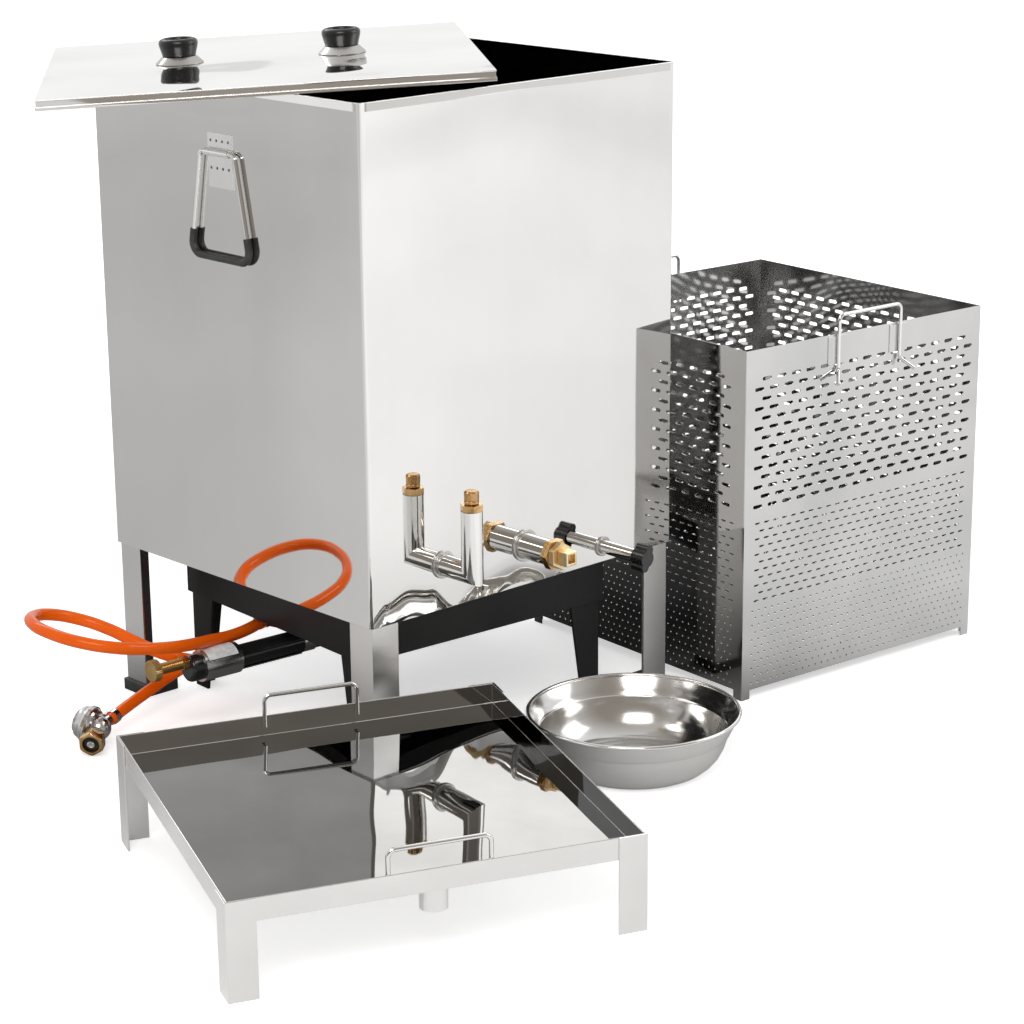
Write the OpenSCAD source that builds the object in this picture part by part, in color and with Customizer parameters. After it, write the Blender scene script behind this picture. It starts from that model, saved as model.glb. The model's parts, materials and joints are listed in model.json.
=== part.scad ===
// Gas-fired wax melter set: a stainless tank with lid and drop handles, a burner stand with its
// hose and regulator, a perforated basket, a legged catch tray and a bowl.
// Millimetres, +Z up. Everything stands on the floor at z = 0.

/* [Tank] */
// Width of the tank across its front
tank_w = 500; // [460:5:600]
// Depth of the tank from front to rear
tank_d = 500; // [460:5:600]
// Height of the tank body
tank_h = 605; // [500:5:700]
// Height of the tank's underside above the floor
tank_lift = 200; // [185:1:260]
// Sheet thickness of the tank
tank_wall = 1.5; // [1:0.1:3]
// Outer radius of the folded tank corners
tank_bend_r = 4; // [3.5:0.5:10]
// Height of the folded hem round the mouth
hem_h = 10; // [6:1:16]
// Thickness of the hem outside the wall
hem_t = 1.5; // [1:0.1:3]
// Distance from each corner at which the hem is notched
hem_notch = 9; // [6:1:20]

/* [Tank legs] */
// Flange width of the leg angles
leg_w = 40; // [30:1:50]
// Thickness of the leg angles
leg_t = 2.5; // [2:0.1:5]
// Inset of the legs from the tank's outer faces
leg_inset = 4; // [2:0.5:8]
// Side of each square foot block
foot_w = 50; // [46:1:60]
// Height of each foot block
foot_h = 15; // [10:1:25]
// Depth of the leg's pocket in the foot
foot_pocket = 7; // [4:0.5:9]
// Clearance round the leg in its pocket
foot_clear = 0.2; // [0.1:0.05:0.4]

/* [Drop handles] */
// Rod diameter of the bail
rod_d = 6; // [5:0.5:8]
// Distance of the bail's pivot below the rim
handle_drop = 80; // [60:1:120]
// Width of the bail at its pivot bar
bail_top_w = 64; // [64:1:90]
// Width of the bail at its grip
bail_low_w = 112; // [92:1:130]
// Length of the bail from pivot to grip
bail_len = 124; // [90:1:160]
// Bend radius of the bail at the pivot bar
bail_top_bend = 8; // [7:0.5:9]
// Bend radius of the bail at the grip
bail_low_bend = 14; // [10:0.5:18]
// Outer diameter of the grip sleeve
grip_d = 9.4; // [8.6:0.1:9.6]
// Height of the grip sleeve up each side of the bail
grip_up = 30; // [22:1:40]
// Width of the strap that carries the bail
strap_w = 45; // [30:1:48]
// Height of the strap above the pivot
strap_up = 22; // [15:1:30]
// Height of the strap below the pivot
strap_down = 42; // [30:1:50]
// Thickness of the strap
strap_t = 1.5; // [1:0.1:1.8]
// Distance of the pivot bar from the tank wall
pivot_out = 5; // [5:0.1:6]
// Radial clearance of the bail in its strap
pivot_clear = 0.05; // [0.02:0.01:0.1]

/* [Front fittings] */
// Wall of the fitting pipes
pipe_wall = 1.5; // [1:0.1:2.5]
// Length of pipe inside the tank
pipe_in = 3; // [2:0.5:10]
// Radial width of the weld ring round each pipe
ring_w = 4; // [2:0.5:8]
// Thickness of the weld rings
ring_t = 2.5; // [1.5:0.5:5]
// Side position of the filler pipe
filler_x = -138; // [-170:1:-90]
// Height of the filler pipe above the tank's underside
filler_z = 55; // [45:1:90]
// Diameter of the filler pipe
filler_d = 26; // [22:1:32]
// Reach of the filler pipe in front of the tank
filler_reach = 51; // [45:1:80]
// Height of the filler's riser above its stub
filler_rise = 76; // [50:1:110]
// Width across flats of the filler's brass collar
collar_af = 24; // [23:0.5:30]
// Height of the filler's brass collar
collar_h = 8; // [6:0.5:16]
// Diameter of the filler plug's head
plug_d = 17.5; // [15:0.5:22]
// Height of the filler plug's head
plug_h = 16; // [10:0.5:24]
// Diameter of the filler plug's shank
plug_shank_d = 14; // [10:0.5:15]
// Side position of the wax outlet
outlet_x = -6; // [-40:1:40]
// Height of the wax outlet above the tank's underside
outlet_z = 50; // [40:1:80]
// Diameter of the wax outlet pipe
outlet_d = 32; // [28:1:38]
// Reach of the wax outlet pipe
outlet_reach = 46; // [30:1:70]
// Width across flats of the outlet's brass collar
outlet_af = 34; // [33:0.5:42]
// Length of the outlet's brass collar
outlet_collar_l = 10; // [6:0.5:16]
// Diameter of the outlet plug's shank
outlet_shank_d = 20; // [14:0.5:24]
// Length of the outlet plug's hexagon
outlet_hex_l = 9; // [6:0.5:14]
// Side of the outlet plug's square head
outlet_square = 17; // [12:0.5:20]
// Length of the outlet plug's square head
outlet_square_l = 16; // [10:0.5:24]
// Side position of the drain pipe
drain_x = 127; // [70:1:150]
// Height of the drain pipe above the tank's underside
drain_z = 20; // [18:1:40]
// Diameter of the drain pipe
drain_d = 17; // [14:0.5:22]
// Reach of the drain pipe
drain_reach = 72; // [30:1:90]
// Length of the wing cap on the drain pipe
wing_l = 20; // [14:1:26]
// Width of the wing cap over its two wings
wing_w = 34; // [30:1:44]
// Thickness of each wing
wing_t = 11; // [8:0.5:14]
// Turn of the wings, in degrees
wing_turn = 70; // [0:5:90]
// Wall of the wing cap's round part
wing_wall = 2; // [1.5:0.5:4]
// Radial clearance of turning plugs and caps
turn_clear = 0.05; // [0.02:0.01:0.1]

/* [Lid] */
// Side of the square lid
lid_w = 515; // [505:5:620]
// Height of the lid
lid_h = 12; // [8:0.5:20]
// Sheet thickness of the lid
lid_sheet = 1.2; // [0.8:0.1:2]
// Height of the folded hem round the lid's lower edge
lid_hem_h = 4; // [2.5:0.5:6]
// Turn of the lid on the tank's mouth, in degrees
lid_turn = -37; // [-45:1:-20]
// Shift of the lid to the side
lid_shift_x = -121; // [-140:1:0]
// Shift of the lid to the rear
lid_shift_y = 81; // [0:1:140]
// Gap between the lid and the rim
lid_gap = 0.3; // [0.2:0.05:0.5]
// Distance between the two lid knobs
knob_pitch = 195; // [150:1:260]
// Diameter of the knob's steel base
knob_base_d = 58; // [50:1:70]
// Height of the knob's steel base
knob_base_h = 9; // [6:0.5:14]
// Diameter of the knob's flared top
knob_d = 47; // [40:1:54]
// Diameter of the knob's foot
knob_foot_d = 40; // [30:1:44]
// Height of the knob
knob_h = 21; // [16:0.5:30]
// Diameter of the knob's screw
screw_d = 6; // [4:0.5:8]
// Clearance of the screw in the sheet and the base
screw_clear = 0.2; // [0.1:0.05:0.5]

/* [Basket] */
// Side of the square basket
basket_w = 420; // [340:5:440]
// Height of the basket
basket_h = 456; // [380:2:480]
// Sheet thickness of the basket
basket_sheet = 1.5; // [1:0.1:2.5]
// Width of the foot left at each lower corner of a panel
basket_foot_w = 14; // [10:1:24]
// Height of the basket's feet
basket_foot_h = 12; // [8:1:20]
// Plain margin at the sides of a panel
panel_margin = 12; // [10:1:24]
// Plain band along the top of a panel
panel_band = 36; // [28:1:60]
// Height of the zone of long slots
long_zone = 166; // [120:2:180]
// Height of the zone of short slots
short_zone = 106; // [80:2:120]
// Gap between the basket and the tank
basket_gap = 32; // [25:1:80]
// Shift of the basket along the tank's side
basket_shift = -155; // [-200:5:-60]
// Turn of the basket, in degrees
basket_turn = -5; // [-12:1:0]
// Wire diameter of the basket and tray handles
wire_d = 5; // [4:0.5:7]
// Width of the basket's wire handles
basket_grip_w = 110; // [80:2:140]
// Height of the basket's wire handles above the top
basket_grip_up = 25; // [18:1:40]
// Length of the basket's wire handles down the panel
basket_grip_down = 46; // [36:1:60]
// Width of the plates under the handle wires
grip_plate_w = 32; // [20:1:44]
// Height of the plates under the handle wires
grip_plate_h = 36; // [20:1:40]

/* [Perforation] */
// Length of a long slot
long_slot_l = 15.5; // [8:0.5:16]
// Height of a long slot
long_slot_h = 5; // [2.5:0.1:6]
// Pitch of the long slots along a row
long_pitch = 24; // [20:1:32]
// Pitch of the rows of long slots
long_row = 12; // [10:0.5:18]
// Length of a short slot
short_slot_l = 10; // [6:0.5:12]
// Height of a short slot
short_slot_h = 2.8; // [2:0.1:4]
// Pitch of the short slots along a row
short_pitch = 20; // [16:1:30]
// Pitch of the rows of short slots
short_row = 12; // [9:0.5:16]
// Diameter of a drain hole
dot_d = 3.6; // [2.5:0.1:5]
// Pitch of the drain holes along a row
dot_pitch = 22; // [16:1:30]
// Pitch of the rows of drain holes
dot_row = 14; // [10:0.5:20]

/* [Catch tray] */
// Width of the tray
tray_w = 450; // [380:5:470]
// Depth of the tray
tray_d = 440; // [380:5:460]
// Height of the rim at the front
tray_front_h = 108; // [90:1:140]
// Fall of the tray from rear to front
tray_fall = 19; // [5:1:30]
// Height of the tray's wall
tray_wall_h = 25; // [18:1:40]
// Sheet thickness of the tray
tray_sheet = 1.5; // [1:0.1:2.5]
// Flange width of the tray's leg angles
tray_leg_w = 32; // [24:1:40]
// Thickness of the tray's leg angles
tray_leg_t = 2; // [1.5:0.1:3]
// Outer diameter of the drain spout
spout_d = 30; // [24:1:36]
// Length of the spout below the tray's floor
spout_l = 30; // [20:1:50]
// Distance of the spout from the front wall
spout_back = 24; // [22:1:60]
// Width of the tray's wire handles
tray_grip_w = 110; // [80:2:140]
// Height of the tray's wire handles above the rim
tray_grip_up = 25; // [18:1:40]
// Gap between the tray's rear wall and the tank's corner
tray_gap = 29; // [20:1:80]
// Reach of the tray past the tank's corner
tray_past = 139; // [60:1:140]
// Turn of the tray, in degrees
tray_turn = -22; // [-30:1:-10]

/* [Bowl] */
// Rim diameter of the bowl
bowl_d = 258; // [200:2:270]
// Height of the bowl
bowl_h = 71; // [60:1:100]
// Base diameter of the bowl
bowl_base_d = 160; // [120:2:170]
// Sheet thickness of the bowl
bowl_sheet = 1.2; // [0.8:0.1:2]
// Diameter of the rolled rim
bowl_roll_d = 5; // [3:0.5:7]
// Side position of the bowl
bowl_x = 29; // [20:1:60]
// Gap between the bowl and the tank's front
bowl_gap = 21; // [15:1:60]

/* [Burner stand] */
// Side of the square stand
stand_w = 380; // [340:5:390]
// Gap between the stand and the tank's underside
stand_gap = 22; // [15:1:30]
// Turn of the stand, in degrees
stand_turn = -4; // [-5:1:0]
// Height of the stand's rails
rail_h = 50; // [40:1:60]
// Thickness of the stand's rails
rail_t = 4; // [3:0.5:6]
// Width of the rails' top flange
rail_flange = 30; // [20:1:40]
// Width of a stand leg under the rails
stand_leg_top = 46; // [40:1:60]
// Width of a stand leg at the floor
stand_leg_low = 27; // [20:1:36]
// Thickness of a stand leg
stand_leg_t = 4; // [3:0.5:6]
// Gap at the butted ends of the rails
weld_gap = 0.3; // [0.1:0.1:0.5]
// Width of the bars that carry the burner
bar_w = 30; // [20:1:36]
// Thickness of the bars that carry the burner
bar_t = 4; // [3:0.5:6]

/* [Burner] */
// Outer diameter of the burner ring
head_d = 180; // [160:2:220]
// Inner diameter of the burner ring
head_hole_d = 80; // [60:2:90]
// Height of the burner ring
head_h = 30; // [24:1:36]
// Diameter of a flame port
port_d = 4; // [3:0.5:6]
// Number of flame ports
port_count = 24; // [12:1:36]
// Drop of the mixing tube below the burner ring
tube_drop = 32; // [28:1:40]
// Diameter of the mixing tube
tube_d = 28; // [24:1:30]
// Distance from the stand's middle to the tube's outer end
tube_reach = 292; // [280:1:310]
// Diameter of the jet body
jet_d = 33; // [31:1:36]
// Length of the jet body
jet_l = 24; // [18:1:30]
// Outer diameter of the steel sleeve
sleeve_d = 39; // [38:0.5:44]
// Length of the steel sleeve
sleeve_l = 53; // [40:1:60]
// Length of the steel band near the burner
band_l = 18; // [10:1:24]
// Distance from the stand's middle to the band
band_at = 150; // [140:1:170]
// Height of the valve above the tube's axis
valve_up = 9; // [6:0.5:10]
// Diameter of the valve's stem
stem_d = 14; // [10:0.5:15]
// Length of the valve's stem
stem_l = 34; // [24:1:44]
// Width across flats of the valve's nut
valve_af = 16; // [14:0.5:18]
// Length of the valve's nut
valve_nut_l = 8; // [5:0.5:12]
// Diameter of the valve knob
valve_knob_d = 27; // [22:1:32]
// Thickness of the valve knob
valve_knob_t = 9; // [6:0.5:12]

/* [Hose and regulator] */
// Outer diameter of the hose
hose_d = 15; // [13:0.5:17]
// Width of the hose clamps
clamp_l = 9; // [7:0.5:12]
// Thickness of the hose clamps
clamp_t = 1.2; // [0.8:0.1:2]
// Diameter of the regulator's bonnet
bonnet_d = 47; // [40:1:54]
// Diameter of the regulator's union nut
union_d = 32; // [28:1:36]
// Length of the regulator's union nut
union_l = 17; // [14:0.5:22]

/* [Hidden] */
$fn = 64;
eps = 0.01;
sweep_sides = 10;
bend_steps = 5;

// Colours of the pieces
steel = "gainsboro";
dull_steel = "darkgray";
brass = "darkkhaki";
black = "dimgray";

// Heights of the tank
tank_top = tank_lift + tank_h;
handle_z = tank_top - handle_drop;

// Places of the loose pieces, from the tank's middle
function spread(a, b, turn) = (a * abs(cos(turn)) + b * abs(sin(turn))) / 2;
function turned(p, turn) = [p[0] * cos(turn) - p[1] * sin(turn), p[0] * sin(turn) + p[1] * cos(turn)];
basket_spread = spread(basket_w, basket_w, basket_turn);
basket_x = tank_w / 2 + basket_gap + basket_spread;
basket_y = basket_shift;
tray_arm = turned([tray_past - tray_w / 2, -tray_d / 2 - tray_gap], tray_turn);
tray_x = -tank_w / 2 + tray_arm[0];
tray_y = -tank_d / 2 + tray_arm[1];
bowl_y = -tank_d / 2 - bowl_gap - bowl_d / 2;
lid_spread = spread(lid_w, lid_w, lid_turn);

// Middle of the set's outline, which is the origin of the frame
set_x_low = min(tray_x - spread(tray_w, tray_d, tray_turn), lid_shift_x - lid_spread);
set_x_high = max(basket_x + basket_spread, lid_shift_x + lid_spread);
set_y_low = min(tray_y - spread(tray_d, tray_w, tray_turn), bowl_y - bowl_d / 2);
set_y_high = max(lid_shift_y + lid_spread, tank_d / 2 + hem_t);
set_x = (set_x_low + set_x_high) / 2;
set_y = (set_y_low + set_y_high) / 2;

// Heights of the stand and the burner
stand_h = tank_lift - stand_gap;
rail_z = stand_h - rail_h;
head_z = rail_z + bar_t;
tube_z = head_z - tube_drop;
boss_w = 44;
boss_x = -(head_d + head_hole_d) / 4;
valve_z = tube_z + valve_up;
jet_end = tube_reach + jet_l;
nut_end = jet_end + valve_nut_l;
stem_end = nut_end + stem_l;
spindle_d = 6;
spindle_in = 8;

// Route of the hose, from the burner's inlet to the regulator
hose_points = [
    [-165, 58, 120], [-200, 48, 118], [-238, 38, 120], [-275, 28, 126], [-312, 15, 133],
    [-350, 5, 141], [-388, 3, 149], [-425, 12, 157], [-456, 38, 165], [-472, 75, 171],
    [-470, 115, 173], [-448, 148, 169], [-412, 162, 160], [-378, 152, 148], [-356, 125, 137],
    [-342, 94, 126], [-325, 68, 114], [-298, 52, 102], [-258, 45, 92], [-216, 43, 84],
    [-184, 54, 77], [-166, 80, 71], [-166, 112, 65], [-184, 138, 58], [-216, 148, 51],
    [-252, 146, 44], [-289, 138, 37], [-330, 127, 30], [-370, 112, 25]];
hose_last = len(hose_points) - 1;
hose_start = hose_points[0];
hose_end = hose_points[hose_last];
inlet_dir = unit(hose_start - hose_points[1]);
outlet_dir = unit(hose_end - hose_points[hose_last - 1]);

// Regulator: the union nut rests on the floor, the bonnet looks up and away
union_lift = 0.5;
arm_l = 16;
arm_d = 13;
reg_core_d = 30;
reg_core = hose_end + outlet_dir * (arm_l + reg_core_d / 4);
union_dir = unit([-0.76, -0.65, (union_d / 2 + union_lift - reg_core[2]) / 40]);
bonnet_dir = unit([-0.43, 0.86, 0.25]);
neck_d = 17;
neck_l = 31;
neck_head_d = 20;
neck_head_l = 3;
nipple_d = 9;
nipple_l = 7;

// Vector helpers
function unit(v) = v / norm(v);
function side_of(t) = unit(cross(t, [0, 0, 1]));
function lerp(a, b, k) = a + (b - a) * k;

// Places children with their z axis along a direction
module along(p, dir) {
    s = side_of(dir);
    u = cross(s, dir);
    multmatrix([
        [s[0], u[0], dir[0], p[0]],
        [s[1], u[1], dir[1], p[1]],
        [s[2], u[2], dir[2], p[2]]])
        children();
}

// Rectangle with round corners, centred
module rounded_rect(w, d, r) {
    square([w - 2 * r, d], center = true);
    square([w, d - 2 * r], center = true);
    for (sx = [-1, 1], sy = [-1, 1])
        translate([sx * (w / 2 - r), sy * (d / 2 - r)])
            circle(r);
}

// Hexagonal prism by its width across flats
module hex_bar(af, h) {
    cylinder(d = af / cos(30), h = h, $fn = 6);
}

// Tube along z
module tube(d_out, d_in, h) {
    difference() {
        cylinder(d = d_out, h = h);
        translate([0, 0, -eps])
            cylinder(d = d_in, h = h + 2 * eps);
    }
}

// Angle profile in plan, with its outer corner at the origin
module angle_profile(w, t) {
    square([w, t]);
    square([t, w]);
}

// Path with each inner point rounded by its own bend radius
function bend_turn(p, i) = acos(unit(p[i] - p[i - 1]) * unit(p[i + 1] - p[i]));
function bend_arc(p, i, r) =
    let (turn = bend_turn(p, i), u = unit(p[i] - p[i - 1]), v = unit(p[i + 1] - p[i]))
    let (n = (v - u * cos(turn)) / sin(turn), c = p[i] - u * r * tan(turn / 2) + n * r)
    [for (k = [0 : bend_steps]) c - n * r * cos(turn * k / bend_steps) + u * r * sin(turn * k / bend_steps)];
function round_path(p, bends) = concat(
    [p[0]],
    [for (i = [1 : len(p) - 2]) each bend_arc(p, i, bends[i - 1])],
    [p[len(p) - 1]]);

// Rings of points square to a path, turned by a reference direction that the path never follows
function path_dir(p, i) = unit(p[min(i + 1, len(p) - 1)] - p[max(i - 1, 0)]);
function path_ring(p, i, ref, d) =
    let (t = path_dir(p, i), s = unit(ref - t * (t * ref)), u = cross(t, s))
    [for (k = [0 : sweep_sides - 1])
        let (a = 360 * k / sweep_sides)
        p[i] + (s * cos(a) + u * sin(a)) * d / 2];

// Round solid swept along a path
module sweep(p, ref, d) {
    n = sweep_sides;
    last = (len(p) - 1) * n;
    points = [for (i = [0 : len(p) - 1]) each path_ring(p, i, ref, d)];
    sides = [for (a = [0 : n : last - n], k = [0 : n - 1])
        let (q = a + k, r = a + (k + 1) % n)
        each [[q, q + n, r], [r, q + n, r + n]]];
    start = [for (k = [1 : n - 2]) [0, k, k + 1]];
    end = [for (k = [1 : n - 2]) [last, last + k + 1, last + k]];
    polyhedron(points, concat(sides, start, end));
}

// Round tube swept along a path
module sweep_tube(p, ref, d_out, d_in) {
    n = sweep_sides;
    rings = len(p);
    all = rings * n;
    last = all - n;
    points = concat(
        [for (i = [0 : rings - 1]) each path_ring(p, i, ref, d_out)],
        [for (i = [0 : rings - 1]) each path_ring(p, i, ref, d_in)]);
    outer = [for (a = [0 : n : last - n], k = [0 : n - 1])
        let (q = a + k, r = a + (k + 1) % n)
        each [[q, q + n, r], [r, q + n, r + n]]];
    inner = [for (f = outer) [f[0] + all, f[2] + all, f[1] + all]];
    start = [for (k = [0 : n - 1])
        let (r = (k + 1) % n)
        each [[k, r, k + all], [r, r + all, k + all]]];
    end = [for (f = start) [f[0] + last, f[2] + last, f[1] + last]];
    polyhedron(points, concat(outer, inner, start, end));
}

// Tank

module tank_outline(inset) {
    rounded_rect(tank_w - 2 * inset, tank_d - 2 * inset, tank_bend_r - inset);
}

// Places children on the tank's front, with z pointing out and y up
module on_front(x, z) {
    translate([x, -tank_d / 2, tank_lift + z])
        rotate([90, 0, 0])
            children();
}

// Folded strips round the mouth, each fused with the wall behind it
module tank_hem() {
    front = tank_w - 2 * hem_notch;
    side = tank_d - 2 * hem_notch;
    fold = hem_t + tank_wall / 2;
    for (turn = [0, 180])
        rotate([0, 0, turn])
            translate([-front / 2, -tank_d / 2 - hem_t, tank_top - hem_h])
                cube([front, fold, hem_h]);
    for (turn = [0, 180])
        rotate([0, 0, turn])
            translate([-tank_w / 2 - hem_t, -side / 2, tank_top - hem_h])
                cube([fold, side, hem_h]);
}

module pipe_hole(x, z, d) {
    on_front(x, z)
        translate([0, 0, -tank_wall - eps])
            cylinder(d = d, h = tank_wall + 2 * eps);
}

module tank_shell() {
    color(steel)
        difference() {
            union() {
                translate([0, 0, tank_lift])
                    linear_extrude(tank_h)
                        tank_outline(0);
                tank_hem();
            }
            translate([0, 0, tank_lift - eps])
                linear_extrude(tank_h + 2 * eps)
                    tank_outline(tank_wall);
            pipe_hole(filler_x, filler_z, filler_d);
            pipe_hole(outlet_x, outlet_z, outlet_d);
            pipe_hole(drain_x, drain_z, drain_d);
        }
}

module tank_floor() {
    color(steel)
        translate([0, 0, tank_lift])
            linear_extrude(tank_wall)
                tank_outline(tank_wall);
}

// Places children at a tank corner, with the corner's inside towards +x and +y
module at_corner(sx, sy, inset) {
    translate([sx * (tank_w / 2 - inset), sy * (tank_d / 2 - inset), 0])
        mirror([sx > 0 ? 1 : 0, 0, 0])
            mirror([0, sy > 0 ? 1 : 0, 0])
                children();
}

module tank_leg(sx, sy) {
    from = foot_h - foot_pocket;
    color(dull_steel)
        at_corner(sx, sy, leg_inset)
            translate([0, 0, from])
                linear_extrude(tank_lift - from)
                    angle_profile(leg_w, leg_t);
}

module tank_foot() {
    difference() {
        cube([foot_w, foot_w, foot_h]);
        translate([leg_inset - foot_clear, leg_inset - foot_clear, foot_h - foot_pocket])
            linear_extrude(foot_h)
                angle_profile(leg_w + 2 * foot_clear, leg_t + 2 * foot_clear);
    }
}

module tank_feet() {
    color(black)
        for (sx = [-1, 1], sy = [-1, 1])
            at_corner(sx, sy, 0)
                tank_foot();
}

// Drop handles

// Places children on a tank side at the bail's pivot, with x pointing out of the wall
module on_side(side) {
    translate([side * tank_w / 2, 0, handle_z])
        rotate([0, 0, side < 0 ? 180 : 0])
            children();
}

// The bail's pivot is a straight bar, its arms are swept from just inside the bar's ends
strap_bore = rod_d + 2 * pivot_clear;
arm_rod_d = rod_d * 0.98;
bail_path = [
    [pivot_out, strap_w / 2, 0], [pivot_out, bail_top_w / 2, 0], [pivot_out, bail_low_w / 2, -bail_len],
    [pivot_out, -bail_low_w / 2, -bail_len], [pivot_out, -bail_top_w / 2, 0], [pivot_out, -strap_w / 2, 0]];
bail_bends = [bail_top_bend, bail_low_bend, bail_low_bend, bail_top_bend];
pivot_bar_l = strap_w + 4;
grip_share = grip_up / norm(bail_path[1] - bail_path[2]);
grip_path = [
    lerp(bail_path[2], bail_path[1], grip_share), bail_path[2], bail_path[3],
    lerp(bail_path[3], bail_path[4], grip_share)];
grip_bends = [bail_low_bend, bail_low_bend];

module handle_strap(side) {
    color(dull_steel)
        on_side(side)
            difference() {
                union() {
                    translate([0, -strap_w / 2, -strap_down])
                        cube([strap_t, strap_w, strap_down + strap_up]);
                    translate([pivot_out, -strap_w / 2, 0])
                        rotate([-90, 0, 0])
                            cylinder(d = strap_bore + 2 * strap_t, h = strap_w);
                }
                translate([pivot_out, -strap_w / 2 - 1, 0])
                    rotate([-90, 0, 0])
                        cylinder(d = strap_bore, h = strap_w + 2);
            }
}

module handle_bail(side) {
    color(dull_steel)
        on_side(side) {
            translate([pivot_out, -pivot_bar_l / 2, 0])
                rotate([-90, 0, 0])
                    cylinder(d = rod_d, h = pivot_bar_l);
            sweep(round_path(bail_path, bail_bends), [1, 0, 0], arm_rod_d);
        }
}

module handle_grip(side) {
    color(black)
        on_side(side)
            sweep_tube(round_path(grip_path, grip_bends), [1, 0, 0], grip_d, rod_d);
}

// Front fittings

// Stub and riser joined by a mitre, y up and z outwards
module mitred_elbow(d, reach, rise, back) {
    big = 4 * (reach + rise);
    intersection() {
        translate([0, 0, -back])
            cylinder(d = d, h = back + reach + d);
        translate([0, 0, reach])
            rotate([-45, 0, 0])
                translate([-big / 2, -big / 2, -big])
                    cube(big);
    }
    intersection() {
        translate([0, -d, reach])
            rotate([-90, 0, 0])
                cylinder(d = d, h = rise + d);
        translate([0, 0, reach])
            rotate([-45, 0, 0])
                translate([-big / 2, -big / 2, 0])
                    cube(big);
    }
}

module filler_pipe() {
    back = tank_wall + pipe_in;
    color(steel)
        on_front(filler_x, filler_z)
            difference() {
                mitred_elbow(filler_d, filler_reach, filler_rise, back);
                mitred_elbow(filler_d - 2 * pipe_wall, filler_reach, filler_rise + 1, back + 1);
            }
}

// Places children on top of the filler's riser
module on_riser() {
    translate([filler_x, -tank_d / 2 - filler_reach, tank_lift + filler_z + filler_rise])
        children();
}

module filler_collar() {
    color(brass)
        on_riser()
            difference() {
                hex_bar(collar_af, collar_h);
                translate([0, 0, -1])
                    cylinder(d = plug_shank_d + 2 * turn_clear, h = collar_h + 2);
            }
}

module filler_plug() {
    color(brass)
        on_riser() {
            translate([0, 0, turn_clear])
                cylinder(d = plug_shank_d, h = collar_h);
            translate([0, 0, collar_h + turn_clear])
                cylinder(d = plug_d, h = plug_h);
        }
}

module straight_pipe(x, z, d, reach) {
    color(steel)
        on_front(x, z)
            translate([0, 0, -tank_wall - pipe_in])
                tube(d, d - 2 * pipe_wall, tank_wall + pipe_in + reach);
}

module outlet_pipe() {
    straight_pipe(outlet_x, outlet_z, outlet_d, outlet_reach);
}

module outlet_collar() {
    color(brass)
        on_front(outlet_x, outlet_z)
            translate([0, 0, outlet_reach])
                difference() {
                    hex_bar(outlet_af, outlet_collar_l);
                    translate([0, 0, -1])
                        cylinder(d = outlet_shank_d + 2 * turn_clear, h = outlet_collar_l + 2);
                }
}

module outlet_plug() {
    head = outlet_reach + outlet_collar_l + turn_clear;
    color(brass)
        on_front(outlet_x, outlet_z) {
            translate([0, 0, outlet_reach + turn_clear])
                cylinder(d = outlet_shank_d, h = outlet_collar_l);
            translate([0, 0, head])
                hex_bar(outlet_af - 4, outlet_hex_l);
            translate([-outlet_square / 2, -outlet_square / 2, head + outlet_hex_l])
                cube([outlet_square, outlet_square, outlet_square_l]);
        }
}

module drain_pipe() {
    straight_pipe(drain_x, drain_z, drain_d, drain_reach);
}

// Oval cap with two wings, screwed over the pipe's end
module drain_wing_cap() {
    wing_r = wing_t / 2;
    over = wing_l - 6;
    color(black)
        on_front(drain_x, drain_z)
            translate([0, 0, drain_reach - over + turn_clear])
                difference() {
                    union() {
                        cylinder(d = drain_d + 2 * wing_wall, h = wing_l);
                        rotate([0, 0, wing_turn])
                            linear_extrude(wing_l) {
                                square([wing_w - wing_t, wing_t], center = true);
                                for (s = [-1, 1])
                                    translate([s * (wing_w / 2 - wing_r), 0])
                                        circle(wing_r);
                            }
                    }
                    translate([0, 0, -1])
                        cylinder(d = drain_d + 2 * turn_clear, h = over + 1);
                }
}

module weld_ring(x, z, d) {
    on_front(x, z)
        tube(d + 2 * ring_w, d, ring_t);
}

module pipe_weld_rings() {
    color(dull_steel) {
        weld_ring(filler_x, filler_z, filler_d);
        weld_ring(outlet_x, outlet_z, outlet_d);
        weld_ring(drain_x, drain_z, drain_d);
    }
}

// Lid

// The lid lies askew: its skirt rests on the left rim and on the rear rim, and inside the skirt its sheet
// rests on the tank's rear left corner, so it tips about the line through the first two rests
rim_x = tank_w / 2 + hem_t;
rim_y = tank_d / 2 + hem_t;
lid_side = [-sin(lid_turn), cos(lid_turn)];
lid_rest_left = [-rim_x, lid_shift_y - (lid_w / 2 - lid_side[0] * (rim_x + lid_shift_x)) / lid_side[1], 0];
lid_rest_rear = [lid_shift_x + (lid_w / 2 - lid_side[1] * (rim_y - lid_shift_y)) / lid_side[0], rim_y, 0];
lid_axis = unit(lid_rest_rear - lid_rest_left);
lid_tip = asin((lid_h - lid_sheet) / (lid_axis[0] * (rim_y - lid_rest_left[1])));

module on_lid() {
    translate(lid_rest_left + [0, 0, tank_top + lid_gap])
        rotate(-lid_tip, lid_axis)
            translate([lid_shift_x, lid_shift_y, 0] - lid_rest_left)
                rotate([0, 0, lid_turn])
                    children();
}

module at_knobs() {
    for (s = [-1, 1])
        translate([s * knob_pitch / 2, 0, lid_h])
            children();
}

module lid_ring(w, inner, h) {
    translate([0, 0, h / 2])
        difference() {
            cube([w, w, h], center = true);
            cube([inner, inner, h + 2], center = true);
        }
}

// Walls set in under the cover's edge, with a folded hem flush with that edge
module lid_skirt() {
    inner = lid_w - 4 * lid_sheet;
    color(steel)
        on_lid() {
            lid_ring(lid_w - 2 * lid_sheet, inner, lid_h - lid_sheet);
            lid_ring(lid_w, inner, lid_hem_h);
        }
}

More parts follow.
